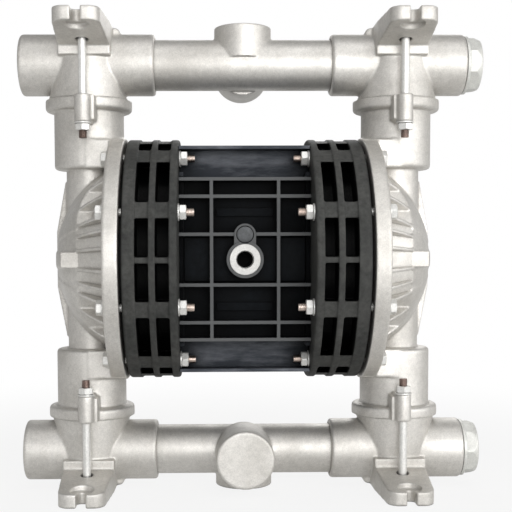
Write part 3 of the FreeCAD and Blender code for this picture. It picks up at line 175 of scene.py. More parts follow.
def mouldSkinGroup():
    # Moulded plastic: fine leathery grain, slightly uneven gloss, and painted shade that turns it near black
    # deep down
    look = mouldGrain
    group, given, out = makeGroup("mouldSkin", [
        ("Tone", "Color", rgb(0.03, 0.03, 0.03)), ("Bloom", "Color", rgb(0.06, 0.06, 0.06)),
        ("Grain Scale", "Float", 900.0), ("Reach", "Float", 10 * mm),
        ("Rough Low", "Float", 0.45), ("Rough High", "Float", 0.6)],
        [("Color", "Color"), ("Roughness", "Float"), ("Height", "Float")])
    cloud = noise(group, *look["cloud"])
    skin = mixColor(group, remap(group, cloud, *look["toneRange"]), given["Tone"], given["Bloom"])
    worn = scaled(group, skin, remap(group, noise(group, *look["wear"]), *look["wearRange"]))
    # Painted shade: pockets within the reach are mixed towards near black
    unshaded = openness(group, given["Reach"], *look["openRange"])
    group.links.new(mixColor(group, unshaded, look["pocketShadeTone"], worn), out["Color"])
    rough = remap(group, cloud, *look["roughRange"], given["Rough Low"], given["Rough High"])
    group.links.new(rough, out["Roughness"])
    group.links.new(noise(group, given["Grain Scale"], *look["grain"]), out["Height"])
    return group


castSkin = castSkinGroup()
edgeWearAndHighlight = edgeRubGroup()
mouldSkin = mouldSkinGroup()


def newMaterial(name, metallic=0.0):
    material = bpy.data.materials.new(name)
    material.use_nodes = True
    tree = material.node_tree
    shader = tree.nodes["Principled BSDF"]
    shader.inputs["Metallic"].default_value = metallic
    return material, tree, shader


def placeGroup(tree, group, values):
    node = addNode(tree, "ShaderNodeGroup", node_tree=group)
    for key, value in values.items():
        node.inputs[key].default_value = value
    return node.outputs


def finishSkin(tree, shader, skin, color, rub, rubAndHighlightTone, bump, bumpDepth):
    # The last steps of every skin: rubbed edges over its colour (wear, and on the plastics a painted edge
    # highlight), its roughness, and its grain as relief
    tree.links.new(mixColor(tree, rub["Mask"], color, rubAndHighlightTone), shader.inputs["Base Color"])
    tree.links.new(skin["Roughness"], shader.inputs["Roughness"])
    bumped = addNode(tree, "ShaderNodeBump", {"Strength": bump, "Distance": bumpDepth,
                                              "Height": skin["Height"], "Normal": rub["Normal"]})
    tree.links.new(bumped.outputs[0], shader.inputs["Normal"])


skinSizes = {
    "castRub": {"Radius": 0.9 * mm, "Amount": 0.5}, "castBump": 0.25 * mm, "cornerShadeShare": 0.45,
    "mouldRub": 0.7 * mm, "mouldBump": 0.2 * mm,
}


def castMaterial(name, tone, shade, metallic, rough, rubAndHighlightTone, bump=0.12):
    material, tree, shader = newMaterial(name, metallic)
    # The painted corner shade is the shade colour darkened to this share
    cornerShade = rgb(*(skinSizes["cornerShadeShare"] * part for part in shade[:3]))
    skin = placeGroup(tree, castSkin, {"Tone": tone, "Shade": shade, "Corner Shade": cornerShade,
                                       "Rough Low": rough[0], "Rough High": rough[1]})
    rub = placeGroup(tree, edgeWearAndHighlight, skinSizes["castRub"])
    finishSkin(tree, shader, skin, skin["Color"], rub, rubAndHighlightTone, bump, skinSizes["castBump"])
    return material


def mouldMaterial(name, tone, bloom, rough, rubAndHighlightTone, rub, bump=0.15, grain=900.0, gloss=0.5, reach=4 * mm):
    material, tree, shader = newMaterial(name)
    shader.inputs["Specular IOR Level"].default_value = gloss
    skin = placeGroup(tree, mouldSkin, {"Tone": tone, "Bloom": bloom, "Grain Scale": grain, "Reach": reach,
                                        "Rough Low": rough[0], "Rough High": rough[1]})
    edge = placeGroup(tree, edgeWearAndHighlight, {"Radius": skinSizes["mouldRub"], "Amount": rub})
    finishSkin(tree, shader, skin, skin["Color"], edge, rubAndHighlightTone, bump, skinSizes["mouldBump"])
    return material


blockLook = {
    "tone": rgb(0.008, 0.0095, 0.011), "bloom": rgb(0.013, 0.0155, 0.019),
    # Painted shade on the rounded rib edges, darker than the painted highlight on the rib faces
    "edgeShadeTone": rgb(0.03, 0.032, 0.034),
    "rough": (0.36, 0.5), "gloss": 0.025, "grain": 1100.0, "reach": 26 * mm, "bump": 0.12,
    "rub": {"Radius": 0.8 * mm, "Amount": 0.7},
    # The plain bands above and below the ribs start this far from the middle; their lit tone and sheen are
    # painted light
    "bandStart": 78.5 * mm, "bandLitTone": rgb(0.058, 0.064, 0.076), "bandSheen": rgb(0.22, 0.23, 0.255),
    "streaks": (0.35, 1.0, 1.6), "haze": (42.0, 5.0, 0.68), "hazeRange": (0.42, 0.72),
    "bandRange": (0.25, 0.8),
    # The ribs' faces stand this far in front of the middle and face the front or the rear; there they get a
    # painted highlight
    "ribFace": 63.2 * mm, "ribHighlightTone": rgb(0.125, 0.128, 0.13), "facingRange": (0.86, 0.98),
    "fade": 1.2 * mm,
}


def blockMaterial():
    # Black moulding: pockets darkened by painted shade, a painted highlight on the rib faces, and a painted
    # hazy sheen on the plain end bands
    look = blockLook
    material, tree, shader = newMaterial("blockPlastic")
    shader.inputs["Specular IOR Level"].default_value = look["gloss"]
    skin = placeGroup(tree, mouldSkin, {
        "Tone": look["tone"], "Bloom": look["bloom"], "Grain Scale": look["grain"], "Reach": look["reach"],
        "Rough Low": look["rough"][0], "Rough High": look["rough"][1]})
    where = addNode(tree, "ShaderNodeTexCoord").outputs["Object"]
    across, depth, height = addNode(tree, "ShaderNodeSeparateXYZ", {0: where}).outputs
    rise = calc(tree, "ABSOLUTE", calc(tree, "SUBTRACT", height, pumpCentre.z))
    band = remap(tree, rise, look["bandStart"], look["bandStart"] + look["fade"])
    streaks = addNode(tree, "ShaderNodeMapping", {0: where, 3: look["streaks"]}).outputs[0]
    haze = remap(tree, noise(tree, *look["haze"], streaks), *look["hazeRange"])
    # Painted sheen: the bands' colour, streaked between the lit tone and the sheen
    bandSheenColor = mixColor(tree, haze, look["bandLitTone"], look["bandSheen"])
    # Painted shade: recessed parts of the bands go back to the block's dark tone
    bandUnshaded = openness(tree, look["reach"], *look["bandRange"])
    bandSheenColor = mixColor(tree, bandUnshaded, look["tone"], bandSheenColor)
    color = mixColor(tree, band, skin["Color"], bandSheenColor)
    reached = remap(tree, calc(tree, "ABSOLUTE", depth), look["ribFace"] - look["fade"], look["ribFace"])
    normal = addNode(tree, "ShaderNodeNewGeometry").outputs["Normal"]
    facing = calc(tree, "ABSOLUTE", addNode(tree, "ShaderNodeSeparateXYZ", {0: normal}).outputs[1])
    ribFace = calc(tree, "MULTIPLY", reached, remap(tree, facing, *look["facingRange"]))
    # Painted highlight: rib faces turned to the front or the rear are painted pale
    color = mixColor(tree, ribFace, color, look["ribHighlightTone"])
    rub = placeGroup(tree, edgeWearAndHighlight, look["rub"])
    finishSkin(tree, shader, skin, color, rub, look["edgeShadeTone"], look["bump"], skinSizes["mouldBump"])
    return material


castLooks = {
    "cast_aluminium": {
        "name": "castAluminium", "tone": rgb(0.72, 0.70, 0.665), "shade": rgb(0.58, 0.56, 0.525),
        "rubAndHighlightTone": rgb(0.84, 0.83, 0.80), "metallic": 0.8, "rough": (0.46, 0.6)},
    "plug_metal": {
        "name": "plugMetal", "tone": rgb(0.75, 0.75, 0.715), "shade": rgb(0.66, 0.66, 0.625),
        "rubAndHighlightTone": rgb(0.88, 0.88, 0.85), "metallic": 0.35, "rough": (0.42, 0.55)},
    "zinc_steel": {
        "name": "zincSteel", "tone": rgb(0.86, 0.855, 0.83), "shade": rgb(0.78, 0.77, 0.74),
        "rubAndHighlightTone": rgb(0.92, 0.91, 0.89), "metallic": 0.55, "rough": (0.3, 0.42), "bump": 0.04},
    "nickel_plate": {
        "name": "nickelPlate", "tone": rgb(0.60, 0.595, 0.575), "shade": rgb(0.53, 0.525, 0.51),
        "rubAndHighlightTone": rgb(0.66, 0.655, 0.64), "metallic": 0.8, "rough": (0.52, 0.6), "bump": 0.03},
    "plate_metal": {
        "name": "plateMetal", "tone": rgb(0.68, 0.68, 0.67), "shade": rgb(0.58, 0.58, 0.57),
        "rubAndHighlightTone": rgb(0.84, 0.84, 0.83), "metallic": 1.0, "rough": (0.3, 0.42), "bump": 0.05},
    "shaft_steel": {
        "name": "shaftSteel", "tone": rgb(0.66, 0.66, 0.66), "shade": rgb(0.6, 0.6, 0.6),
        "rubAndHighlightTone": rgb(0.8, 0.8, 0.8), "metallic": 1.0, "rough": (0.12, 0.2), "bump": 0.02},
}
mouldLooks = {
    "ring_plastic": {
        "name": "ringPlastic", "tone": rgb(0.050, 0.051, 0.049), "bloom": rgb(0.080, 0.080, 0.076),
        "rubAndHighlightTone": rgb(0.12, 0.12, 0.115), "rub": 0.5, "rough": (0.5, 0.66), "bump": 0.4,
        "grain": 520.0, "gloss": 0.06, "reach": 22 * mm},
    "black_rubber": {
        "name": "blackRubber", "tone": rgb(0.018, 0.018, 0.018), "bloom": rgb(0.028, 0.028, 0.027),
        "rubAndHighlightTone": rgb(0.05, 0.05, 0.05), "rub": 0.3, "rough": (0.6, 0.75)},
    "diaphragm_rubber": {
        "name": "diaphragmRubber", "tone": rgb(0.012, 0.012, 0.012), "bloom": rgb(0.02, 0.02, 0.02),
        "rubAndHighlightTone": rgb(0.04, 0.04, 0.04), "rub": 0.3, "rough": (0.6, 0.75)},
    "ball_polymer": {
        "name": "ballPolymer", "tone": rgb(0.80, 0.80, 0.77), "bloom": rgb(0.74, 0.73, 0.69),
        "rubAndHighlightTone": rgb(0.84, 0.84, 0.82), "rub": 0.2, "rough": (0.3, 0.42), "bump": 0.05},
    "bush_plastic": {
        "name": "bushPlastic", "tone": rgb(0.70, 0.67, 0.58), "bloom": rgb(0.62, 0.59, 0.50),
        "rubAndHighlightTone": rgb(0.76, 0.74, 0.67), "rub": 0.2, "rough": (0.4, 0.55)},
}
# Bare threads: bright on the cover bolts, brown with age on the tie bolts
threadLooks = {
    "cover": {
        "name": "threadMetal", "tone": rgb(0.74, 0.63, 0.56), "shade": rgb(0.60, 0.47, 0.40),
        "rubAndHighlightTone": rgb(0.88, 0.80, 0.73), "metallic": 1.0, "rough": (0.24, 0.38), "bump": 0.04},
    "tie": {
        "name": "agedThreadMetal", "tone": rgb(0.26, 0.18, 0.155), "shade": rgb(0.12, 0.08, 0.065),
        "rubAndHighlightTone": rgb(0.60, 0.48, 0.42), "metallic": 0.9, "rough": (0.34, 0.5), "bump": 0.04},
}
plugLook = {
    "name": "plugPlastic", "tone": rgb(0.10, 0.105, 0.11), "bloom": rgb(0.135, 0.14, 0.145),
    "rubAndHighlightTone": rgb(0.2, 0.2, 0.2), "rub": 0.4, "rough": (0.4, 0.55), "bump": 0.15, "gloss": 0.2,
}
finishes = {slot: castMaterial(**look) for slot, look in castLooks.items()}
finishes.update((slot, mouldMaterial(**look)) for slot, look in mouldLooks.items())
finishes["block_plastic"] = blockMaterial()
threadMetals = {kind: castMaterial(**look) for kind, look in threadLooks.items()}
plugPlastic = mouldMaterial(**plugLook)
print("materials made:", len(finishes) + len(threadMetals) + 1)


def dress(piece, material):
    piece.data.materials.clear()
    piece.data.materials.append(material)


for name, node in nodes.items():
    dress(node, finishes[slotOf[name]])

# Mesh building blocks


def smoothShading(piece, degrees=30):
    for polygon in piece.data.polygons:
        polygon.use_smooth = True
    piece.data.set_sharp_from_angle(angle=math.radians(degrees))


def addMesh(name, mesh, body, slot, material=None):
    mesh.name = name
    piece = bpy.data.objects.new(name, mesh)
    scene.collection.objects.link(piece)
    dress(piece, material or finishes[slot])
    smoothShading(piece)
    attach(piece, body)
    return piece


def addPiece(name, shape, body, slot, material=None):
    vertices, faces = shape
    mesh = bpy.data.meshes.new(name)
    mesh.from_pydata(vertices, [], faces)
    mesh.update()
    return addMesh(name, mesh, body, slot, material)


def around(angle, radius, level):
    return Vector((radius * math.cos(angle), radius * math.sin(angle), level))


def turnAngles(steps):
    return [2 * math.pi * step / steps for step in range(steps)]


def ringFaces(count, rows):
    # Quads between rows of points that close on themselves
    faces = []
    for row in range(rows - 1):
        for step in range(count):
            a = row * count + step
            b = row * count + (step + 1) % count
            faces.append((a, b, b + count, a + count))
    return faces


def endFaces(count, rows):
    last = (rows - 1) * count
    return [tuple(reversed(range(count))), tuple(range(last, last + count))]


def turnedShape(place, profile, steps):
    # A solid turned from (radius, height) corners, with flat ends
    vertices = [place @ around(angle, radius, height)
                for radius, height in profile for angle in turnAngles(steps)]
    return vertices, ringFaces(steps, len(profile)) + endFaces(steps, len(profile))


def joined(shapes):
    vertices, faces = [], []
    for moreVertices, moreFaces in shapes:
        offset = len(vertices)
        vertices += moreVertices
        faces += [tuple(index + offset for index in face) for face in moreFaces]
    return vertices, faces


def axisFrame(origin, direction, spin=0.0):
    # Carries +Z to the direction, turned about it by the spin
    turn = Vector(direction).to_track_quat("Z", "Y").to_matrix().to_4x4()
    return Matrix.Translation(origin) @ turn @ Matrix.Rotation(spin, 4, "Z")


def halfTurn(axis):
    turn = Matrix.Rotation(math.pi, 4, axis)
    return Matrix.Translation(pumpCentre) @ turn @ Matrix.Translation(-pumpCentre)


unturned = Matrix.Identity(4)

# Castings, remeshed so that their edges are round
weldReach = 0.005 * mm
castings = {
    "tee": {"voxel": 0.9 * mm, "rounds": 4, "keep": 0.35},
    "pipe": {"voxel": 0.9 * mm, "rounds": 3, "keep": 0.35},
    "cover": {"voxel": 1.0 * mm, "rounds": 4, "keep": 0.35},
    "ring": {"voxel": 0.8 * mm, "rounds": 3, "keep": 0.35},
}


def weldSeams(piece):
    # The frame's faces come apart at their edges, so they are joined before anything rounds them
    weld = piece.modifiers.new("weld", "WELD")
    weld.merge_threshold = weldReach


def baked(piece):
    # The piece's mesh with its modifiers applied
    graph = bpy.context.evaluated_depsgraph_get()
    mesh = bpy.data.meshes.new_from_object(piece.evaluated_get(graph))
    bpy.data.objects.remove(piece)
    return mesh


def softened(source, voxel, rounds, keep):
    # A casting's skin with its edges and corners rounded as sand or shot leaves them
    piece = bpy.data.objects.new("softening", nodes[source].data.copy())
    scene.collection.objects.link(piece)
    weldSeams(piece)
    skin = piece.modifiers.new("skin", "REMESH")
    skin.mode = "VOXEL"
    skin.voxel_size = voxel
    skin.use_smooth_shade = True
    smooth = piece.modifiers.new("smooth", "SMOOTH")
    smooth.factor = 0.5
    smooth.iterations = rounds
    thin = piece.modifiers.new("thin", "DECIMATE")
    thin.ratio = keep
    return baked(piece)


def placeCastings(kind, copies):
    # The first is softened; each copy is that casting turned half round the pump's centre
    master = softened(copies[0][0], **castings[kind])
    for name, turn in copies:
        mesh = master.copy()
        mesh.transform(turn)
        piece = addMesh(name + "_casting", mesh, "root", slotOf[name])
        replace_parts(piece, name)
    print(kind, "castings:", len(copies), "with", len(master.polygons), "faces each")


placeCastings("tee", [
    ("discharge_tee_right", unturned), ("discharge_tee_left", halfTurn("Z")),
    ("suction_tee_right", halfTurn("X")), ("suction_tee_left", halfTurn("Y"))])
placeCastings("pipe", [("discharge_pipe", unturned), ("suction_pipe", halfTurn("X"))])
placeCastings("cover", [("pump_cover_right", unturned), ("pump_cover_left", halfTurn("Z"))])
placeCastings("ring", [("air_chamber_right", unturned), ("air_chamber_left", halfTurn("Z"))])

# Cover details: flat ends on the band across the dome, and floors that rise to the cap between the low ribs
# Places are measured from the pump's centre, along the shaft and out from it
coverDetail = {
    "padHalfHeight": 7.4 * mm, "padFace": 69.3 * mm, "padBack": 50.0 * mm,
    "padStart": 155.0 * mm, "padEnd": 173.6 * mm, "padEdge": 0.6 * mm,
    "floorAngle": 27.0, "capEdge": (158.8 * mm, 68.6 * mm), "flangeEdge": (128.6 * mm, 83.0 * mm),
    "underFlange": (128.6 * mm, 72.0 * mm), "underCap": (150.0 * mm, 60.0 * mm),
}


def easeEdges(piece, width):
    ease = piece.modifiers.new("ease", "BEVEL")
    ease.width = width
    ease.segments = 2
    return ease


def floorShape(detail, steps=24):
    # A solid swept about the shaft's axis; angles are measured from the front, upwards
    profile = [detail[key] for key in ("capEdge", "flangeEdge", "underFlange", "underCap")]
    reach = math.radians(detail["floorAngle"])
    vertices = []
    for step in range(steps + 1):
        angle = reach * (2 * step / steps - 1)
        for along, out in profile:
            vertices.append(pumpCentre + Vector((along, -out * math.cos(angle), out * math.sin(angle))))
    count = len(profile)
    faces = [tuple(reversed(face)) for face in ringFaces(count, steps + 1) + endFaces(count, steps + 1)]
    return vertices, faces


def padShape(detail):
    xs = (detail["padStart"], detail["padEnd"])
    ys = (-detail["padFace"], -detail["padBack"])
    zs = (-detail["padHalfHeight"], detail["padHalfHeight"])
    vertices = [pumpCentre + Vector((x, y, z)) for x in xs for y in ys for z in zs]
    faces = [(0, 1, 3, 2), (4, 6, 7, 5), (0, 4, 5, 1), (2, 3, 7, 6), (0, 2, 6, 4), (1, 5, 7, 3)]
    return vertices, faces


def detailCovers():
    # Front right is made; half turns about X and Z carry it to the rear and to the left
    shapes = {"floor": floorShape(coverDetail), "pad": padShape(coverDetail)}
    for side, turn in (("right", unturned), ("left", halfTurn("Z"))):
        for face, flip in (("front", unturned), ("rear", halfTurn("X"))):
            for kind, (vertices, faces) in shapes.items():
                moved = [turn @ flip @ point for point in vertices]
                piece = addPiece(f"cover_{kind}_{side}_{face}", (moved, faces), "root", "cast_aluminium")
                if kind == "pad":
                    easeEdges(piece, coverDetail["padEdge"])
    print("cover details made")


detailCovers()

# The moulded block and the small hard parts keep their faces and get eased edges
easedEdges = {
    "centre_block": 0.65 * mm, "air_valve_body": 0.6 * mm, "valve_end_caps": 0.3 * mm,
    "discharge_port_plug": 0.6 * mm, "suction_port_plug": 0.6 * mm, "exhaust_muffler": 0.3 * mm,
    "cover_washers_left": 0.2 * mm, "cover_washers_right": 0.2 * mm, "tie_bolt_washers": 0.2 * mm,
}
for name, width in easedEdges.items():
    weldSeams(nodes[name])
    ease = easeEdges(nodes[name], width)
    ease.limit_method = "ANGLE"
    ease.angle_limit = math.radians(40)
    ease.harden_normals = True
print("eased edges on", len(easedEdges), "nodes")

# Fasteners
fastenerSizes = {
    "threadRadius": 4.0 * mm, "threadPitch": 1.25 * mm, "threadDepth": 0.62 * mm,
    "nutFlats": 13.0 * mm, "headHeight": 5.3 * mm,
    "chamferRadius": 6.1 * mm, "chamferSlope": 0.55, "boreChamfer": 0.5 * mm,
}
# A thread fades over this share of its pitch, down to this share of its depth
threadEnd = {"length": 0.8, "depth": 0.8}
sixth = math.pi / 3
random.seed(7)


def islands(name):
    # The box of each separate solid of a node, lowest and highest corners
    mesh = nodes[name].data
    spots = {}
    ids = [spots.setdefault(tuple(round(c, 6) for c in vertex.co), len(spots)) for vertex in mesh.vertices]
    parent = list(range(len(spots)))

    def root(item):
        while parent[item] != item:
            parent[item] = parent[parent[item]]
            item = parent[item]
        return item

    for polygon in mesh.polygons:
        first = root(ids[polygon.vertices[0]])
        for vertex in polygon.vertices:
            parent[root(ids[vertex])] = first
    groups = {}
    for place, number in spots.items():
        groups.setdefault(root(number), []).append(Vector(place))
    boxes = [(Vector(map(min, *group)), Vector(map(max, *group))) for group in groups.values()]
    return sorted(boxes, key=lambda pair: tuple(pair[0]))


def cornerFrame(origin, direction):
    # Carries +Z to the direction, with a hexagon's corner to the front
    ahead = Vector((0, -1, 0))
    side = Vector(direction).cross(ahead)
    turn = Matrix((ahead, side, Vector(direction))).transposed().to_4x4()
    return Matrix.Translation(origin) @ turn @ Matrix.Rotation(sixth / 2, 4, "Z")


def hexShape(place, height, bore, chamferTop, chamferBottom, steps=72):
    # A hexagon whose corners fall away under a turned chamfer, bored or solid
    size = fastenerSizes
    flats, inner, lip = size["nutFlats"] / 2, size["chamferRadius"], size["boreChamfer"]
    angles = turnAngles(steps)
    rows = []
    for level, inward, chamfer in ((0.0, 1, chamferBottom), (height, -1, chamferTop)):
        hole, flat, rim = [], [], []
        for angle in angles:
            corner = flats / math.cos((angle + sixth / 2) % sixth - sixth / 2)
            fall = max(0.0, corner - inner) * size["chamferSlope"] if chamfer else 0.0
            hole.append(around(angle, bore + lip, level))
            flat.append(around(angle, min(inner, corner), level))
            rim.append(around(angle, corner, level + inward * fall))
        rows += [hole, flat, rim] if inward > 0 else [rim, flat, hole]
    if bore:
        rows += [[around(angle, bore, level) for angle in angles] for level in (height - lip, lip)]
    vertices = [place @ point for row in rows for point in row]
    faces = ringFaces(steps, len(rows))
    if bore:
        last = (len(rows) - 1) * steps
        faces += [(last + step, last + (step + 1) % steps, (step + 1) % steps, step) for step in range(steps)]
    else:
        faces += endFaces(steps, len(rows))
    return vertices, faces


def threadShape(place, length, radius, pitch, depth, steps=20, perTurn=6, inside=False):
    # A helical thread, closed and faded at its ends; inside turns its face to the axis
    rows = max(3, int(length / pitch * perTurn) + 1)
    vertices = []
    for row in range(rows):
        level = length * row / (rows - 1)
        fade = min(1.0, min(level, length - level) / (pitch * threadEnd["length"]))
        for step, angle in enumerate(turnAngles(steps)):
            phase = (level / pitch - step / steps) % 1.0
            crest = 1 - abs(2 * phase - 1)
            cut = crest if inside else (1 - crest) * fade + (1 - fade) * threadEnd["depth"]
            vertices.append(place @ around(angle, radius - depth * cut, level))
    faces = ringFaces(steps, rows)
    if inside:
        return vertices, [tuple(reversed(face)) for face in faces]
    return vertices, faces + endFaces(steps, rows)


def dressFasteners(bolts, nuts, axis, label, metal):
    # Bolts and nuts stand where the CAD has them; heads and threads are cut here
    size = fastenerSizes
    radius, headHeight = size["threadRadius"], size["headHeight"]
    heads, threads, nutShapes = [], [], []
    nutBoxes = islands(nuts)
    for low, high in islands(bolts):
        middle = (low + high) / 2
        nut = min(nutBoxes, key=lambda pair: ((pair[0] + pair[1]) / 2 - middle).length)
        nutMiddle = (nut[0] + nut[1]) / 2
        nutHeight = (nut[1] - nut[0])[axis]
        way = 1 if nutMiddle[axis] > middle[axis] else -1
        direction = Vector((0, 0, 0))
        direction[axis] = way
        tail = (high if way > 0 else low)[axis]
        head = (low if way > 0 else high)[axis]
        origin = middle.copy()
        origin[axis] = head + way * headHeight
        headFrame = axisFrame(origin, -direction, random.uniform(0, math.pi))
        heads.append(hexShape(headFrame, headHeight, 0.0, True, False))
        threadLength = abs(tail - nutMiddle[axis]) + nutHeight
        shank = abs(tail - origin[axis]) - threadLength
        heads.append(turnedShape(axisFrame(origin, direction), [(radius, 0.0), (radius, shank)], 24))
        threadFrame = axisFrame(origin + direction * shank, direction)
        threads.append(threadShape(threadFrame, threadLength, radius,
                                   size["threadPitch"], size["threadDepth"]))
        seat = nutMiddle - direction * nutHeight / 2
        nutShapes.append(hexShape(cornerFrame(seat, direction), nutHeight, radius, True, True))
    headPiece = addPiece(label + "_bolts", joined(heads), "root", "zinc_steel")
    threadPiece = addPiece(label + "_threads", joined(threads), "root", "zinc_steel", threadMetals[metal])
    nutPiece = addPiece(label + "_nuts", joined(nutShapes), "root", "zinc_steel")
    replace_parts(headPiece, bolts)
    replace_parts(threadPiece, bolts)
    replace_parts(nutPiece, nuts)
    print(label, "fasteners:", len(threads))


for side in ("left", "right"):
    dressFasteners("cover_bolts_" + side, "cover_nuts_" + side, 0, "cover_" + side, "cover")
dressFasteners("tie_bolts", "tie_bolt_nuts", 2, "tie", "tie")

# Threads cut in the ports and the air inlet's insert
portThreads = {
    "suction_port": {"slot": "cast_aluminium", "pitch": 2.309 * mm, "depth": 1.3 * mm},
    "discharge_port": {"slot": "cast_aluminium", "pitch": 2.309 * mm, "depth": 1.3 * mm},
    "air_inlet": {"slot": "nickel_plate", "pitch": 1.337 * mm, "depth": 0.7 * mm},
}
for name, thread in portThreads.items():
    mount = mounts[name]
    radius = mount["dims"]["r_mm"] * mm
    length = mount["dims"]["length_mm"] * mm
    direction = Vector(mount["axis"])
    start = axisFrame(Vector(mount["pos_m"]) - direction * length / 2, direction)
    shape = threadShape(start, length, radius, thread["pitch"], thread["depth"], steps=96, inside=True)
    addPiece(name + "_thread", shape, "root", thread["slot"])
print("port threads:", len(portThreads))

# The pilot port's plug: a flat disc with rounded edges, just inside the lip of its hole
pilotPlug = {"gap": 0.45 * mm, "sink": 0.25 * mm, "edge": 0.7 * mm, "edgeShare": 0.3}


def makePilotPlug():
    low, high = islands("pilot_port_plug")[0]
    radius = (high.x - low.x) / 2 - pilotPlug["gap"]
    length = high.y - low.y - pilotPlug["sink"]
    edge = pilotPlug["edge"]
    turn = pilotPlug["edgeShare"] * edge
    profile = [(radius, 0), (radius, length - edge), (radius - turn, length - turn), (radius - edge, length)]
    back = Vector(((low.x + high.x) / 2, high.y, (low.z + high.z) / 2))
    shape = turnedShape(axisFrame(back, (0, -1, 0)), profile, 48)
    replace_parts(addPiece("pilot_plug_disc", shape, "root", "block_plastic", plugPlastic), "pilot_port_plug")
    print("pilot plug made")


makePilotPlug()

# Floor, world, lamps and camera
white = rgb(1, 1, 1)
floorLook = {
    "half": 6.0, "drop": 0.2 * mm,
    "color": rgb(0.6, 0.6, 0.59), "grainShare": 0.985, "grain": (60.0, 3.0, 0.5),
    "roughness": 0.9, "gloss": 0.1,
    # The floor is seen white far off and a little under white near the pump; metal mirrors half of that
    "nearGlow": 0.86, "mirrorShare": 0.5, "fadeStart": 0.3, "fadeEnd": 0.9,
}


def makeFloor():
    look = floorLook
    half = look["half"]
    corners = [(-half, -half, 0), (half, -half, 0), (half, half, 0), (-half, half, 0)]
    mesh = bpy.data.meshes.new("floor")
    mesh.from_pydata(corners, [], [(0, 1, 2, 3)])
    floor = bpy.data.objects.new("floor", mesh)
    floor.location.z = -look["drop"]
    scene.collection.objects.link(floor)
    material, tree, shader = newMaterial("floorPaper")
    shader.inputs["Roughness"].default_value = look["roughness"]
    shader.inputs["Specular IOR Level"].default_value = look["gloss"]
    dim = rgb(*(part * look["grainShare"] for part in look["color"][:3]))
    paper = mixColor(tree, noise(tree, *look["grain"]), look["color"], dim)
    tree.links.new(paper, shader.inputs["Base Color"])
    where = addNode(tree, "ShaderNodeTexCoord").outputs["Object"]
    distance = addNode(tree, "ShaderNodeVectorMath", {0: where}, operation="LENGTH").outputs["Value"]
    glow = remap(tree, distance, look["fadeStart"], look["fadeEnd"], look["nearGlow"], 1.0, "SMOOTHSTEP")
    path = addNode(tree, "ShaderNodeLightPath").outputs
    mirrored = calc(tree, "MULTIPLY", path["Is Glossy Ray"], look["mirrorShare"])
    seen = calc(tree, "MAXIMUM", path["Is Camera Ray"], mirrored)
    seen = calc(tree, "MAXIMUM", seen, path["Is Transmission Ray"])
    emission = addNode(tree, "ShaderNodeEmission", {"Color": white, "Strength": 1.0})
    both = addNode(tree, "ShaderNodeMixShader", {
        0: calc(tree, "MULTIPLY", glow, seen), 1: shader.outputs[0], 2: emission.outputs[0]})
    tree.links.new(both.outputs[0], tree.nodes["Material Output"].inputs["Surface"])
    mesh.materials.append(material)


# What metal mirrors grows dimmer straight up or down, to the left and behind: (from, to, share, share)
worldLook = {
    "ambient": 0.38,
    "steepDim": (0.3, 0.9, 1.0, 0.35),
    "sideDim": (-0.8, 0.35, 0.68, 1.0),
    "rearDim": (-0.5, 0.7, 1.0, 0.55),
}


def makeWorld():
    look = worldLook
    world = bpy.data.worlds.new("studio")
    world.use_nodes = True
    tree = world.node_tree
    tree.nodes.clear()
    where = addNode(tree, "ShaderNodeTexCoord").outputs["Generated"]
    across, front, height = addNode(tree, "ShaderNodeSeparateXYZ", {0: where}).outputs
    shade = remap(tree, calc(tree, "ABSOLUTE", height), *look["steepDim"], "SMOOTHSTEP")
    side = remap(tree, across, *look["sideDim"], "SMOOTHSTEP")
    rear = remap(tree, front, *look["rearDim"], "SMOOTHSTEP")
    mirrored = calc(tree, "MULTIPLY", calc(tree, "MULTIPLY", shade, rear), side)
    ambient = addNode(tree, "ShaderNodeBackground", {"Color": white, "Strength": look["ambient"]})
    mirror = addNode(tree, "ShaderNodeBackground", {"Color": white, "Strength": mirrored})
    backdrop = addNode(tree, "ShaderNodeBackground", {"Color": white, "Strength": 1.0})
    path = addNode(tree, "ShaderNodeLightPath").outputs
    lit = addNode(tree, "ShaderNodeMixShader", {
        0: path["Is Glossy Ray"], 1: ambient.outputs[0], 2: mirror.outputs[0]})
    seen = calc(tree, "MAXIMUM", path["Is Camera Ray"], path["Is Transmission Ray"])
    both = addNode(tree, "ShaderNodeMixShader", {0: seen, 1: lit.outputs[0], 2: backdrop.outputs[0]})
    tree.links.new(both.outputs[0], addNode(tree, "ShaderNodeOutputWorld").inputs["Surface"])
    scene.world = world


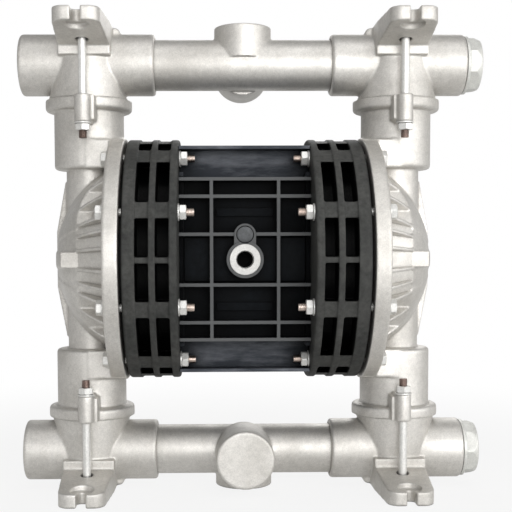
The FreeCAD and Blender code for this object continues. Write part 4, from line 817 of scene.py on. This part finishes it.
lamps = {
    "keyLamp": {"place": (0.45, -1.8, 0.5), "size": (1.7, 0.9), "power": 18.5},
    "sideLamp": {"place": (1.7, -1.0, 0.45), "size": (0.9, 1.2), "power": 8},
    "topLamp": {"place": (0.1, -0.8, 1.9), "size": (1.4, 1.0), "power": 7},
    "backLamp": {"place": (0.3, 1.6, 1.2), "size": (1.2, 0.8), "power": 9},
}


def addLamp(name, place, size, power):
    light = bpy.data.lights.new(name, "AREA")
    light.shape = "RECTANGLE"
    light.size, light.size_y = size
    light.energy = power
    lamp = bpy.data.objects.new(name, light)
    lamp.location = place
    lamp.rotation_mode = "QUATERNION"
    lamp.rotation_quaternion = (pumpCentre - Vector(place)).to_track_quat("-Z", "Y")
    scene.collection.objects.link(lamp)


# Placed and turned as the photograph's camera was, in millimetres from the pump's centre and degrees
cameraView = {"left": 30.2, "away": 993.3, "above": 8.6, "down": 3.29, "right": 0.94, "roll": 0.19}
cameraLens = {"focalPixels": 982.0, "framePixels": 512.0, "sensor": 36.0, "axisX": 229.47, "axisY": 306.95,
              "clipStart": 0.05, "clipEnd": 50}


def makeCamera():
    view, lens = cameraView, cameraLens
    data = bpy.data.cameras.new("camera")
    data.sensor_width = lens["sensor"]
    data.lens = lens["sensor"] * lens["focalPixels"] / lens["framePixels"]
    data.shift_x = 0.5 - lens["axisX"] / lens["framePixels"]
    data.shift_y = lens["axisY"] / lens["framePixels"] - 0.5
    data.clip_start = lens["clipStart"]
    data.clip_end = lens["clipEnd"]
    camera = bpy.data.objects.new("camera", data)
    camera.location = pumpCentre + Vector((-view["left"], -view["away"], view["above"])) * mm
    yaw = Matrix.Rotation(-math.radians(view["right"]), 4, "Z")
    pitch = Matrix.Rotation(math.radians(90 - view["down"]), 4, "X")
    roll = Matrix.Rotation(-math.radians(view["roll"]), 4, "Z")
    camera.rotation_mode = "QUATERNION"
    camera.rotation_quaternion = (yaw @ pitch @ roll).to_quaternion()
    scene.collection.objects.link(camera)
    scene.camera = camera


makeFloor()
makeWorld()
for name, lamp in lamps.items():
    addLamp(name, **lamp)
makeCamera()
scene.view_settings.view_transform = "Standard"
print("stage set")
